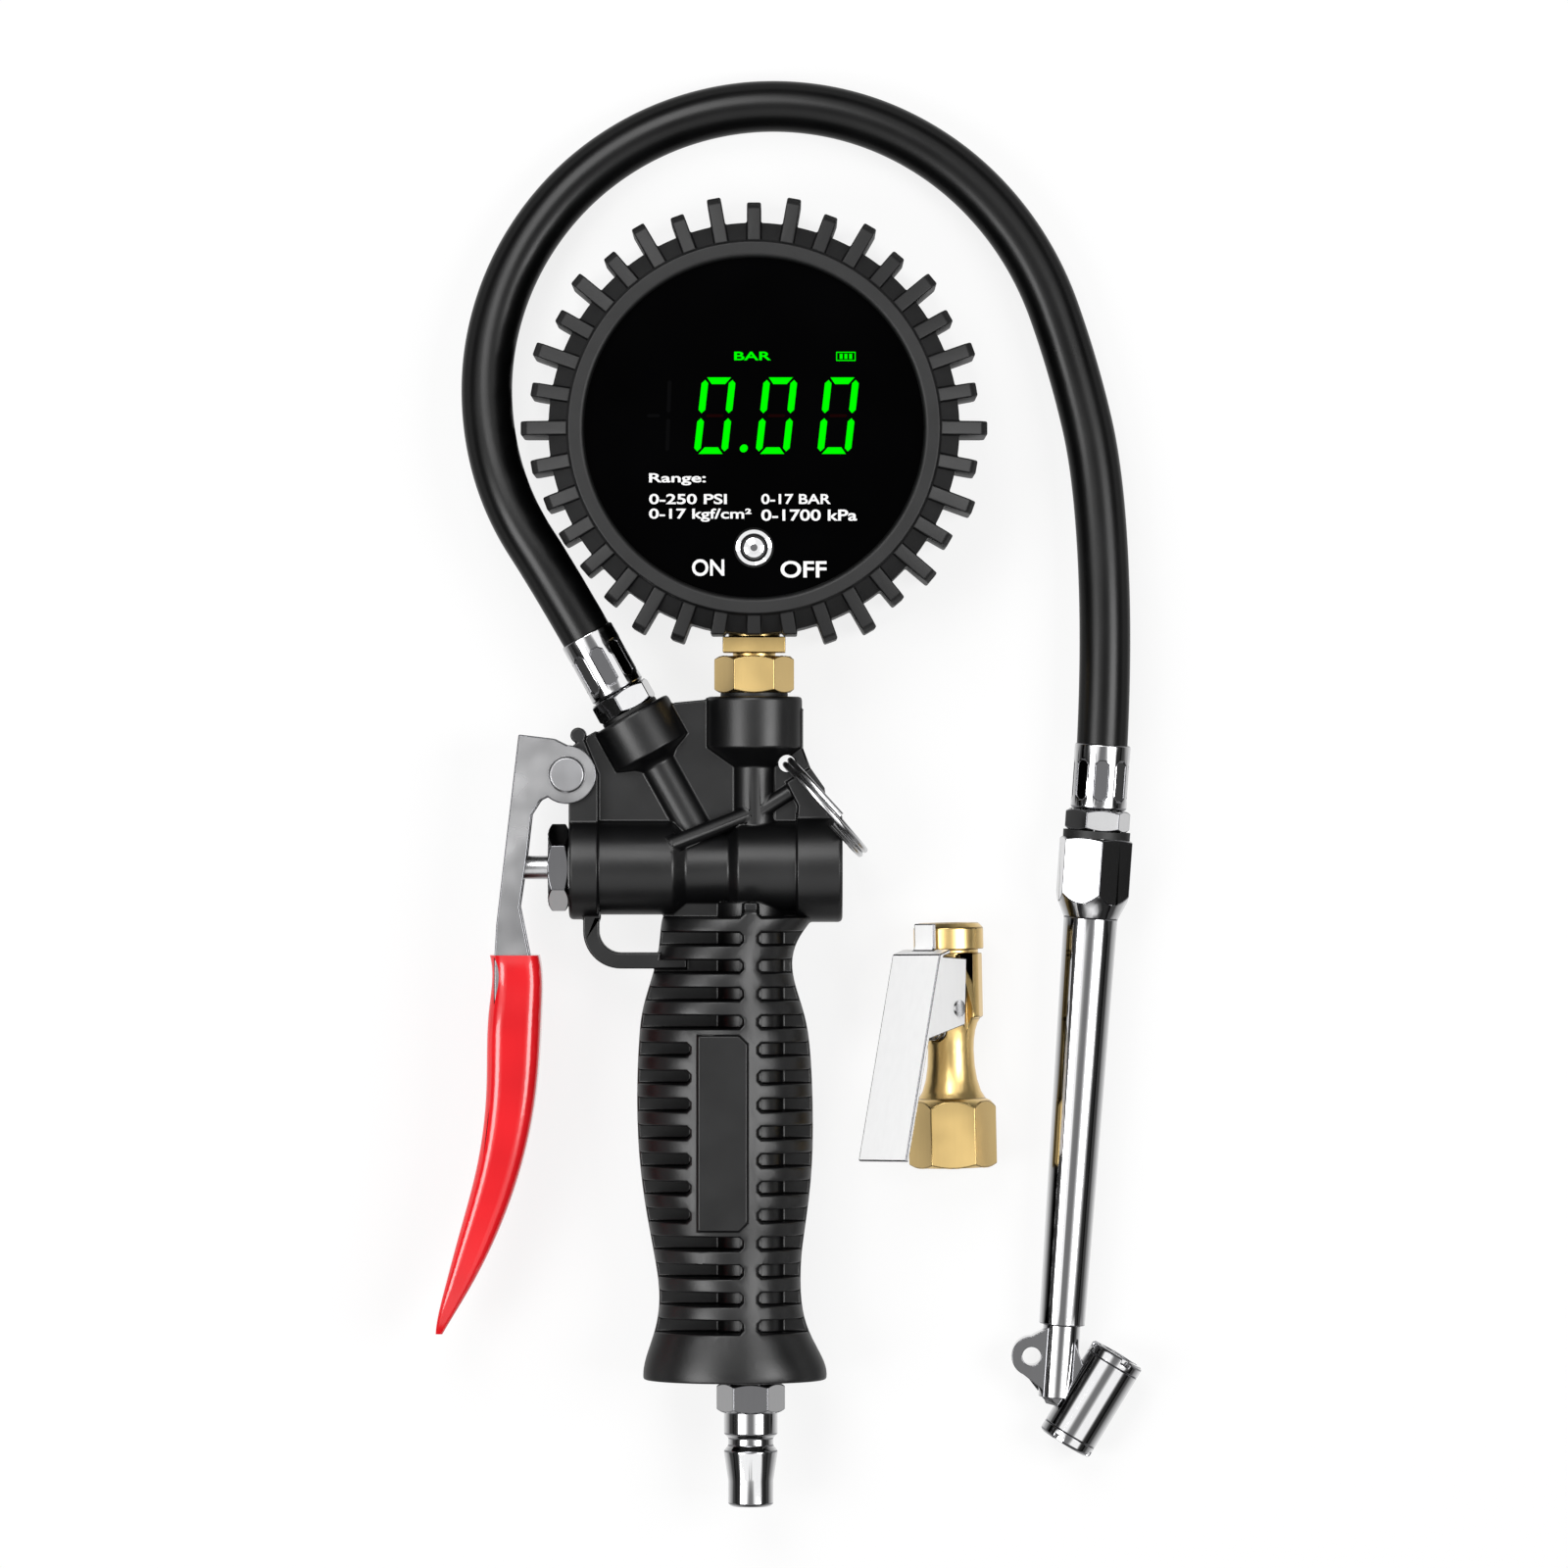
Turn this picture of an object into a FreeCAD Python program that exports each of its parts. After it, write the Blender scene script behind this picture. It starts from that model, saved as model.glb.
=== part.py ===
import FreeCAD, Part

import math
import os

import Sketcher

# A tyre inflator lying flat on its back, seen from above along -Z.
# X runs to the right, Y runs from the grip to the gauge, and the table is Z = 0.
# The gauge's axis is the Z axis. Lengths are millimetres and angles are degrees.
SIZES = {
    # The whole gun shares one middle plane
    "middle_height": 18.0,
    # Clearances
    "slip_gap": 0.05,
    "soft_gap": 0.1,
    "lever_gap": 0.2,
    # Gauge boot
    "window_inset": 4.5,
    "lip_width": 3.8,
    "boot_wall": 3.8,
    "boot_height": 38.0,
    "lip_thickness": 2.4,
    "boot_floor": 3.0,
    "back_opening_radius": 31.0,
    "fin_width": 3.3,
    "long_fin_reach": 6.5,
    "short_fin_reach": 4.8,
    "pressed_fin_reach": 3.9,
    "fin_count": 36.0,
    # Gauge case and what it holds
    "gauge_standoff": 14.5,
    "case_radius": 44.0,
    "case_wall": 2.0,
    "lens_thickness": 2.2,
    "lens_ledge": 1.6,
    "board_height": 24.0,
    "board_thickness": 1.6,
    "board_clearance": 4.0,
    "board_screw_inset": 3.0,
    "board_post_radius": 2.4,
    "board_screw_radius": 1.0,
    "display_length": 64.0,
    "display_width": 34.0,
    "display_thickness": 6.4,
    "display_y": 4.5,
    "battery_radius": 5.25,
    "battery_length": 44.5,
    "battery_pitch": 12.0,
    "tray_wall": 1.5,
    "tray_height": 13.4,
    "cover_screw_offset": 24.0,
    "cover_screw_radius": 0.9,
    # Power button
    "button_y": -27.9,
    "button_radius": 3.25,
    "button_ring_radius": 4.65,
    "button_rise": 1.3,
    "switch_height": 1.0,
    # Brass gauge stem
    "stem_neck_radius": 5.0,
    "stem_wall_radius": 6.0,
    "stem_flange_radius": 8.0,
    "stem_bore_radius": 1.5,
    "stem_block_width": 14.7,
    "stem_block_top": -48.4,
    "stem_block_height": 3.7,
    "gauge_nut_flats": 16.3,
    "gauge_nut_height": 8.6,
    "washer_thickness": 0.8,
    "sensor_radius": 5.4,
    "sensor_length": 9.0,
    # Valve barrel of the gun, along X
    "barrel_y": -102.5,
    "barrel_radius": 11.06,
    "barrel_left": -43.4,
    "barrel_right": 20.7,
    "left_flange_radius": 12.2,
    "left_flange_length": 6.9,
    "right_flange_radius": 12.8,
    "right_flange_length": 10.7,
    "waist_radius": 8.6,
    "waist_left": -16.0,
    "waist_right": -6.0,
    "waist_cone": 3.0,
    "chamber_radius": 7.0,
    "left_chamber_end": -21.0,
    "right_chamber_start": -5.0,
    "right_chamber_end": 12.0,
    "waist_bore_radius": 4.6,
    "end_thread_radius": 8.5,
    # Ports of the gun
    "port_thread_radius": 5.05,
    "port_depth": 10.8,
    "gauge_boss_top": -62.4,
    "gauge_boss_radius": 11.25,
    "gauge_boss_length": 11.9,
    "gauge_neck_radius": 5.2,
    "gauge_neck_start": -78.8,
    "air_passage_radius": 2.0,
    "hose_port_x": -29.0,
    "hose_port_y": -66.5,
    "hose_port_tilt": 29.0,
    "hose_boss_radius": 9.75,
    "hose_boss_length": 12.0,
    "hose_neck_radius": 4.6,
    "hose_neck_end": 34.0,
    "web_thickness": 4.4,
    "rib_radius": 1.9,
    "lug_hole_x": 7.7,
    "lug_hole_y": -78.1,
    "lug_hole_radius": 2.0,
    "lug_thickness": 11.0,
    # Grip
    "grip_x": -0.8,
    "grip_bottom": -222.6,
    "grip_bore_radius": 3.5,
    "spine_width": 3.2,
    "slot_first_y": -112.53,
    "slot_pitch": 6.47,
    "slot_height": 3.2,
    "slot_corner": 0.9,
    "slot_count": 16.0,
    "grip_web": 5.0,
    "grip_core_radius": 8.0,
    "label_left": -13.1,
    "label_right": -1.5,
    "label_top": -141.5,
    "label_bottom": -187.1,
    "label_rise": 17.3,
    "guard_width": 3.7,
    "guard_thickness": 9.0,
    "guard_bend": 7.0,
    "guard_x": -38.2,
    "guard_y": -124.3,
    # Air inlet plug
    "inlet_thread_radius": 5.5,
    "inlet_thread_depth": 12.0,
    "plug_flats": 14.0,
    "plug_hex_length": 6.7,
    "plug_land_radius": 6.3,
    "plug_groove_radius": 5.3,
    "plug_tip_radius": 5.3,
    "plug_bore_radius": 3.0,
    "filter_length": 6.0,
    # Valve parts
    "gland_flats": 17.8,
    "gland_hex_length": 4.8,
    "gland_spigot": 7.0,
    "stem_radius": 2.75,
    "pushrod_radius": 1.6,
    "seat_thickness": 2.6,
    "seat_hole_radius": 2.9,
    "poppet_radius": 5.2,
    "poppet_thickness": 3.6,
    "valve_spring_radius": 3.4,
    "valve_spring_wire": 0.5,
    "end_cap_socket": 8.0,
    # Lever
    "pivot_x": -43.8,
    "pivot_y": -80.7,
    "pin_radius": 2.5,
    "rivet_radius": 4.3,
    "rivet_height": 1.2,
    "clevis_radius": 6.4,
    "clevis_thickness": 12.0,
    "ear_radius": 6.9,
    "sheet": 1.5,
    "sleeve_wall": 1.2,
    "stem_touch_gap": 0.15,
    # Key ring
    "key_ring_radius": 13.6,
    "key_ring_wire": 0.7,
    "key_ring_turn": -48.7,
    # Hose and its fittings
    "hose_radius": 6.0,
    "hose_bore_radius": 3.3,
    "nipple_flats": 13.5,
    "nipple_hex_length": 4.9,
    "nipple_stud_radius": 5.0,
    "nipple_stud_length": 9.0,
    "nipple_tail_radius": 3.2,
    "nipple_tail_length": 13.5,
    "nipple_bore_radius": 1.8,
    "ferrule_radius": 6.6,
    "ferrule_length": 15.4,
    "ferrule_base": 0.8,
    "crimp_count": 8.0,
    "crimp_depth": 0.4,
    "crimp_length": 9.5,
    "crimp_width": 3.3,
    # Dual-foot chuck
    "chuck_x": 80.6,
    "chuck_y": -95.7,
    "chuck_height": 9.6,
    "chuck_tilt": 4.0,
    "chuck_pitch": 1.15,
    "chuck_seal_thickness": 1.7,
    "chuck_flats": 16.0,
    "chuck_hex_length": 14.7,
    "chuck_hex_turn": 97.0,
    "chuck_cone_end": -18.8,
    "tube_top_radius": 6.4,
    "tube_end_radius": 5.4,
    "tube_end": -132.2,
    "tube_bore_radius": 3.0,
    "neck_start": -115.0,
    "spigot_radius": 3.6,
    "head_neck_radius": 4.4,
    "spigot_length": 6.0,
    "head_x": 8.12,
    "head_y": -132.0,
    "head_tilt": 27.2,
    "head_radius": 6.7,
    "head_half_length": 9.6,
    "head_bore_radius": 5.9,
    "head_partition": 3.4,
    "plunger_bore_radius": 2.9,
    "cap_length": 2.6,
    "mouth_radius": 4.2,
    "cap_notches": 4.0,
    "ear_hole_x": -6.7,
    "ear_hole_y": -122.8,
    "ear_hole_radius": 2.2,
    "hang_ear_radius": 4.7,
    "hang_ear_thickness": 6.0,
    # Clip-on chuck that lies beside the gun
    "clip_x": 46.9,
    "clip_y": -173.2,
    "clip_tilt": 1.2,
    "clip_flats": 18.0,
    "clip_base_length": 15.6,
    "clip_waist_radius": 5.4,
    "clip_waist_at": 27.5,
    "clip_shoulder_at": 35.4,
    "clip_neck_radius": 7.8,
    "clip_collar_length": 7.2,
    "clip_collar_radius": 8.2,
    "clip_length": 57.6,
    "clip_mouth_radius": 4.3,
    "clip_mouth_depth": 6.6,
    "clip_pocket_radius": 4.1,
    "clip_pocket_depth": 14.0,
    "clip_thread_radius": 5.7,
    "clip_thread_depth": 8.0,
    "clip_lever_azimuth": 38.0,
    "clip_lever_width": 14.0,
    "clip_sheet": 1.0,
    "clip_pin_out": 6.0,
    "clip_pin_up": 37.6,
    "clip_pin_radius": 1.2,
    "clip_spring_up": 32.5,
    "clip_spring_radius": 2.1,
    "clip_spring_wire": 0.35,
}

# Outline of the grip from the barrel down: Y, left edge, right edge, half depth
GRIP_SECTIONS = [
    (-110.5, -19.0, 16.0, 13.5),
    (-115.6, -21.8, 12.9, 14.6),
    (-120.4, -22.3, 9.9, 15.0),
    (-132.1, -25.2, 10.3, 15.8),
    (-146.0, -27.2, 13.2, 16.8),
    (-162.0, -27.4, 13.8, 17.0),
    (-178.0, -26.1, 13.1, 16.6),
    (-191.0, -23.9, 11.4, 15.8),
    (-202.5, -22.3, 11.0, 15.6),
    (-210.5, -23.2, 12.6, 16.4),
    (-217.5, -25.4, 16.0, 17.6),
    (-222.6, -26.0, 16.9, 18.0),
]

# Outline of the lever from its pivot: distances right and up
LEVER_BACK = [(-11.3, 9.4), (-16.5, -35.1), (-16.9, -42.0), (-17.0, -55.0)]
LEVER_BACK += [(-17.6, -73.5), (-19.8, -92.0)]
LEVER_FRONT = [(-12.8, -92.0), (-9.0, -73.5), (-7.6, -55.0), (-8.4, -44.5)]
LEVER_FRONT += [(-11.1, -31.0), (-9.5, -20.0), (-8.3, -9.4), (-6.2, -6.1)]

# Sections of the red sleeve: Y from the pivot, left edge, right edge, share of the depth
SLEEVE_SECTIONS = [
    (-42.3, -18.1, -6.6, 1.0),
    (-55.0, -18.3, -6.0, 1.0),
    (-73.5, -18.9, -7.2, 1.0),
    (-92.5, -21.3, -11.0, 0.95),
    (-108.0, -25.4, -16.6, 0.84),
    (-120.0, -28.6, -22.6, 0.68),
    (-128.0, -30.5, -27.4, 0.48),
    (-131.2, -30.9, -29.3, 0.28),
]

# Route of the hose: straight runs, joined by arcs, from the gun's port to the chuck
HOSE_ROUTE = [
    (-59.7, -15.0, 15.5),
    (-64.2, 11.4, 11.0),
    (-58.8, 36.3, 7.6),
    (-44.8, 57.4, 6.2),
    (-24.2, 71.9, 6.1),
    (0.3, 78.1, 6.1),
    (26.0, 74.9, 6.1),
    (49.0, 62.2, 6.1),
    (66.2, 41.6, 6.1),
    (75.4, 15.5, 6.6),
    (81.6, -11.5, 7.8),
]
HOSE_FIRST_RUN = 26.5
HOSE_LAST_RUN = 30.0

# Fins, counted from +X, that the hose presses in where it passes them
PRESSED_FINS = (20, 21, 22)

Vector = FreeCAD.Vector


class Size:
    """One size, held as its number and as the sheet expression that gives it."""

    def __init__(self, number, text):
        self.number = number
        self.text = text

    def __add__(self, other):
        other = as_size(other)
        return Size(self.number + other.number, f"({self.text} + {other.text})")

    def __sub__(self, other):
        other = as_size(other)
        return Size(self.number - other.number, f"({self.text} - {other.text})")

    def __mul__(self, other):
        other = as_size(other)
        return Size(self.number * other.number, f"({self.text} * {other.text})")

    def __truediv__(self, other):
        other = as_size(other)
        return Size(self.number / other.number, f"({self.text} / {other.text})")

    def __neg__(self):
        return Size(-self.number, f"(0 - {self.text})")

    def __radd__(self, other):
        return as_size(other) + self

    def __rsub__(self, other):
        return as_size(other) - self

    def __rmul__(self, other):
        return as_size(other) * self

    def __rtruediv__(self, other):
        return as_size(other) / self


def as_size(value):
    """A plain number as a size."""
    if isinstance(value, Size):
        return value
    return Size(value, f"({value:.6f})")


def sine(angle):
    angle = as_size(angle)
    return Size(math.sin(math.radians(angle.number)), f"sin({angle.text})")


def cosine(angle):
    angle = as_size(angle)
    return Size(math.cos(math.radians(angle.number)), f"cos({angle.text})")


doc = FreeCAD.newDocument("tyre_inflator")
sheet = doc.addObject("Spreadsheet::Sheet", "Sizes")


class Sheet:
    """The driving dimensions by name."""


D = Sheet()


def fill_sheet():
    """Write each driving dimension to its own cell, with its name as alias."""
    for row, (name, value) in enumerate(SIZES.items(), start=1):
        sheet.set(f"A{row}", name)
        sheet.set(f"B{row}", str(value))
        sheet.setAlias(f"B{row}", name)
        setattr(D, name, Size(value, f"Sizes.{name}"))
    doc.recompute()


NODES = {}


def node(label, thing):
    """Give a finished piece its name and put it on the list of files."""
    thing.Label = label
    NODES[label] = thing
    return thing


def frame(x, y, z, *turns):
    """A placement expression: a point and turns such as ("z", 30)."""
    point = "; ".join(as_size(value).text for value in (x, y, z))
    turning = " * ".join(f"rotation{axis}({as_size(angle).text})" for axis, angle in turns)
    return f"placement(vector({point}); {turning or 'rotationz(0)'})"


def inside(outer, x, y, z, *turns):
    """A frame given within another frame."""
    return f"{outer} * {frame(x, y, z, *turns)}"


def bind(thing, **sizes):
    for name, size in sizes.items():
        thing.setExpression(name, as_size(size).text)


def origin_plane(body, role):
    for feature in body.Origin.OriginFeatures:
        if feature.Role == role:
            return feature
    raise ValueError(f"no origin plane {role}")


def outline_sketch(body, name, role, outline, offset=None):
    """A closed polygon sketch whose corners are pinned to sizes."""
    sketch = body.newObject("Sketcher::SketchObject", name)
    sketch.AttachmentSupport = (origin_plane(body, role), "")
    sketch.MapMode = "FlatFace"
    if offset is not None:
        sketch.setExpression("AttachmentOffset.Base.z", as_size(offset).text)
    corners = [(as_size(x), as_size(y)) for x, y in outline]
    count = len(corners)
    for i, (x, y) in enumerate(corners):
        far_x, far_y = corners[(i + 1) % count]
        start = Vector(x.number, y.number, 0)
        end = Vector(far_x.number, far_y.number, 0)
        sketch.addGeometry(Part.LineSegment(start, end), False)
    for i in range(count):
        sketch.addConstraint(Sketcher.Constraint("Coincident", i, 2, (i + 1) % count, 1))
    for i, (x, y) in enumerate(corners):
        pin_corner(sketch, i, "DistanceX", x, -2)
        pin_corner(sketch, i, "DistanceY", y, -1)
    return sketch


def pin_corner(sketch, line, kind, size, axis):
    """Fix one coordinate of a line's start to a size, or put it on the axis."""
    if abs(size.number) < 1e-9:
        sketch.addConstraint(Sketcher.Constraint("PointOnObject", line, 1, axis))
    elif size.number > 0:
        index = sketch.addConstraint(Sketcher.Constraint(kind, -1, 1, line, 1, size.number))
        sketch.setExpression(f"Constraints[{index}]", size.text)
    else:
        index = sketch.addConstraint(Sketcher.Constraint(kind, line, 1, -1, 1, -size.number))
        sketch.setExpression(f"Constraints[{index}]", (-size).text)


def turned(name, profile, where):
    """A body turned about its own Z from a profile of radius and height pairs."""
    body = doc.addObject("PartDesign::Body", name)
    sketch = outline_sketch(body, f"{name}_profile", "XZ_Plane", profile)
    turn = body.newObject("PartDesign::Revolution", f"{name}_turn")
    turn.Profile = sketch
    turn.ReferenceAxis = (sketch, ["V_Axis"])
    turn.Angle = 360
    sketch.Visibility = False
    body.setExpression("Placement", where)
    return body


def plate(name, outline, bottom, thickness, where):
    """A flat piece with a polygon outline in XY, from a bottom height upwards."""
    body = doc.addObject("PartDesign::Body", name)
    sketch = outline_sketch(body, f"{name}_outline", "XY_Plane", outline, bottom)
    pad = body.newObject("PartDesign::Pad", f"{name}_pad")
    pad.Profile = sketch
    bind(pad, Length=thickness)
    sketch.Visibility = False
    body.setExpression("Placement", where)
    return body


def rod(name, radius, start, end, where):
    """A cylinder along the frame's Z between two heights."""
    solid = doc.addObject("Part::Cylinder", name)
    bind(solid, Radius=radius, Height=as_size(end) - start)
    solid.setExpression("Placement", inside(where, 0, 0, start))
    return solid


def block(name, low, high, where):
    """A box between two corners of a frame."""
    solid = doc.addObject("Part::Box", name)
    length, width, height = [as_size(far) - near for near, far in zip(low, high)]
    bind(solid, Length=length, Width=width, Height=height)
    solid.setExpression("Placement", inside(where, *low))
    return solid


def prism(name, sides, flats, start, end, where, turn=0):
    """A regular prism with a flat's distance, a corner at the given turn from X."""
    solid = doc.addObject("Part::Prism", name)
    solid.Polygon = sides
    half_turn = math.cos(math.pi / sides)
    bind(solid, Circumradius=as_size(flats) / 2 / half_turn, Height=as_size(end) - start)
    solid.setExpression("Placement", inside(where, 0, 0, start, ("z", turn)))
    return solid


def joined(name, *things):
    whole = doc.addObject("Part::MultiFuse", name)
    whole.Shapes = list(things)
    return whole


def without(name, base, *tools):
    """A base less one or more tools."""
    rest = doc.addObject("Part::Cut", name)
    rest.Base = base
    rest.Tool = tools[0] if len(tools) == 1 else joined(f"{name}_tools", *tools)
    return rest


def shared(name, first, second):
    both = doc.addObject("Part::Common", name)
    both.Base = first
    both.Tool = second
    return both


def tube_profile(inner, outer, start, end):
    return [(inner, start), (outer, start), (outer, end), (inner, end)]


def ring(name, inner, outer, start, end, where):
    return turned(name, tube_profile(inner, outer, start, end), where)


def hexagon(name, flats, start, end, where, turn=0):
    """A hexagonal bar whose corners are chamfered at both ends."""
    bar = prism(f"{name}_bar", 6, flats, start, end, where, turn)
    corner = as_size(flats) / math.sqrt(3) + 0.02
    flat = as_size(flats) / 2
    rise = (corner - flat) * 0.6
    start = as_size(start)
    end = as_size(end)
    profile = [(0, start), (flat, start), (corner, start + rise)]
    profile += [(corner, end - rise), (flat, end), (0, end)]
    barrel = turned(f"{name}_turned", profile, where)
    return shared(name, bar, barrel)


def coil(name, radius, wire, length, turns, where):
    """Round wire wound about the frame's Z, with its ends' centres a wire radius in."""
    radius, wire, length = as_size(radius), as_size(wire), as_size(length)
    sides = 8
    corner = radius.number / math.cos(math.pi / sides)
    climb = (length.number - 2 * wire.number) / (sides * turns)
    points = []
    for i in range(sides * turns + 1):
        swing = 2 * math.pi * i / sides
        points.append(Vector(corner * math.cos(swing), corner * math.sin(swing), climb * i))
    path, _ = rounded_path(points)
    section = Part.Circle(points[0], (points[1] - points[0]).normalize(), wire.number)
    wound = doc.addObject("Part::Feature", name)
    wound.Shape = path.makePipeShell([Part.Wire(section.toShape())], True, False)
    wound.setExpression("Placement", inside(where, 0, 0, wire))
    return wound


def rounded_path(points):
    """Straight runs joined by tangent arcs as large as the shorter run allows."""
    edges = []
    radii = []
    last = points[0]
    for before, corner, after in zip(points, points[1:], points[2:]):
        one = before - corner
        two = after - corner
        short = min(one.Length, two.Length)
        one.normalize()
        two.normalize()
        half_turn = (math.pi - one.getAngle(two)) / 2
        reach = 0.45 * short
        radius = reach / math.tan(half_turn)
        start = corner + one * reach
        end = corner + two * reach
        inward = (one + two).normalize()
        middle = corner + inward * (radius / math.cos(half_turn) - radius)
        edges.append(Part.LineSegment(last, start).toShape())
        edges.append(Part.Arc(start, middle, end).toShape())
        radii.append(radius)
        last = end
    edges.append(Part.LineSegment(last, points[-1]).toShape())
    return Part.Wire(edges), radii


fill_sheet()

# Radii of the gauge, and the place of its axis above the gun
CASE_INNER = D.case_radius - D.case_wall
WINDOW_RADIUS = D.case_radius - D.window_inset
LIP_RADIUS = WINDOW_RADIUS + D.lip_width
BOOT_RADIUS = D.case_radius + D.soft_gap + D.boot_wall
BOARD_RADIUS = CASE_INNER - D.board_clearance
GAUGE_Y = D.gauge_boss_top + D.gauge_standoff + BOOT_RADIUS

# Frames that several pieces share
GAUGE = frame(0, GAUGE_Y, 0)
GUN = frame(0, 0, D.middle_height)
BARREL = frame(0, D.barrel_y, D.middle_height, ("y", 90))
GAUGE_PORT = frame(0, 0, D.middle_height, ("x", -90))
GRIP_AXIS = frame(D.grip_x, 0, D.middle_height, ("x", -90))
HOSE_PORT = frame(
    D.hose_port_x, D.hose_port_y, D.middle_height, ("z", D.hose_port_tilt), ("x", -90)
)
CHUCK_PLANE = frame(
    D.chuck_x, D.chuck_y, D.chuck_height, ("z", -D.chuck_tilt), ("x", D.chuck_pitch)
)
CHUCK = inside(CHUCK_PLANE, 0, 0, 0, ("x", -90))
HEAD = inside(CHUCK_PLANE, D.head_x, D.head_y, 0, ("z", -D.head_tilt), ("x", -90))
CLIP_GROOVE = D.clip_length - D.clip_collar_length
CLIP = frame(D.clip_x, D.clip_y, D.clip_flats / 2, ("z", D.clip_tilt), ("x", -90))
CLIP_SIDE = inside(CLIP, 0, 0, 0, ("z", D.clip_lever_azimuth - 166))

# Heights and radii inside the gauge that follow from the driving sizes
CASE_BACK = D.boot_floor + D.soft_gap
CASE_FLOOR = CASE_BACK + D.case_wall
CASE_FRONT = D.boot_height - D.lip_thickness - D.soft_gap
LENS_TOP = CASE_FRONT - D.soft_gap
LENS_BACK = LENS_TOP - D.lens_thickness
BOARD_TOP = D.board_height + D.board_thickness
BUTTON_TOP = LENS_TOP + D.button_rise
BUTTON_STOP = BOARD_TOP + D.switch_height + 3.0


def make_gauge_boot():
    """Rubber boot: a ring with a front lip, a back floor and radial fins."""
    inner = D.case_radius + D.soft_gap
    lip_under = D.boot_height - D.lip_thickness
    profile = [
        (D.back_opening_radius, 0),
        (BOOT_RADIUS - 1.5, 0),
        (BOOT_RADIUS, 1.5),
        (BOOT_RADIUS, D.boot_height - 5),
        (LIP_RADIUS + 0.3, D.boot_height - 1.4),
        (LIP_RADIUS, D.boot_height),
        (WINDOW_RADIUS + 0.8, D.boot_height),
        (WINDOW_RADIUS, D.boot_height - 0.8),
        (WINDOW_RADIUS, lip_under),
        (inner, lip_under),
        (inner, D.boot_floor),
        (D.back_opening_radius, D.boot_floor),
    ]
    band = turned("boot_band", profile, GAUGE)
    fins = []
    step = 360 / D.fin_count
    for i in range(round(SIZES["fin_count"])):
        reach = D.short_fin_reach if i % 2 else D.long_fin_reach
        if i in PRESSED_FINS:
            reach = D.pressed_fin_reach
        tip = BOOT_RADIUS + reach
        fin = [
            (inner + 0.5, 2),
            (tip - 1, 2),
            (tip, 3.5),
            (tip, D.boot_height - 6.5),
            (tip - 1.3, D.boot_height - 4),
            (LIP_RADIUS - 0.6, D.boot_height - 0.8),
            (LIP_RADIUS - 0.6, lip_under + 0.4),
            (inner + 0.3, lip_under + 0.15),
            (inner + 0.5, lip_under - 1.1),
        ]
        place = inside(GAUGE, 0, 0, 0, ("z", step * i), ("x", 90))
        fins.append(plate(f"boot_fin_{i}", fin, -D.fin_width / 2, D.fin_width, place))
    whole = joined("boot_whole", band, *fins)
    trim_top = (BOOT_RADIUS + 0.2) * -1
    trim = block("boot_trim", (-12.4, -70, -1), (12.4, trim_top, 60), GAUGE)
    hole = rod("boot_hole", D.stem_wall_radius + D.soft_gap, -60, -30, GAUGE_PORT)
    node("gauge_boot", without("gauge_boot", whole, trim, hole))


def make_gauge_case():
    """Black case: a cup with a lens ledge, board posts and a battery opening."""
    ledge = LENS_BACK - D.slip_gap
    profile = [
        (0, CASE_BACK),
        (D.case_radius, CASE_BACK),
        (D.case_radius, CASE_FRONT),
        (CASE_INNER, CASE_FRONT),
        (CASE_INNER, ledge),
        (CASE_INNER - D.lens_ledge, ledge),
        (CASE_INNER - D.lens_ledge, ledge - 1.2),
        (CASE_INNER, ledge - 2.8),
        (CASE_INNER, CASE_FLOOR),
        (0, CASE_FLOOR),
    ]
    shell = turned("case_shell", profile, GAUGE)
    posts = []
    holes = []
    for i in range(4):
        turn = inside(GAUGE, 0, 0, 0, ("z", 45 + 90 * i))
        at = inside(turn, BOARD_RADIUS - D.board_screw_inset, 0, 0)
        top = D.board_height - D.slip_gap
        posts.append(rod(f"case_post_{i}", D.board_post_radius, CASE_BACK, top, at))
        holes.append(rod(f"case_post_hole_{i}", D.board_screw_radius, 10, 60, at))
    body = joined("case_body", shell, *posts)
    half_x, half_y = battery_space()
    opening = block("case_opening", (-half_x, -half_y, 0), (half_x, half_y, 10), GAUGE)
    stem = rod("case_stem_hole", D.stem_wall_radius + D.slip_gap, -60, -30, GAUGE_PORT)
    node("gauge_case", without("gauge_case", body, opening, stem, *holes))


def battery_space():
    """Half length and half width of the space for two cells side by side."""
    half_x = D.battery_length / 2 + 4.0
    half_y = D.battery_pitch / 2 + D.battery_radius + 0.75
    return half_x, half_y


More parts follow.
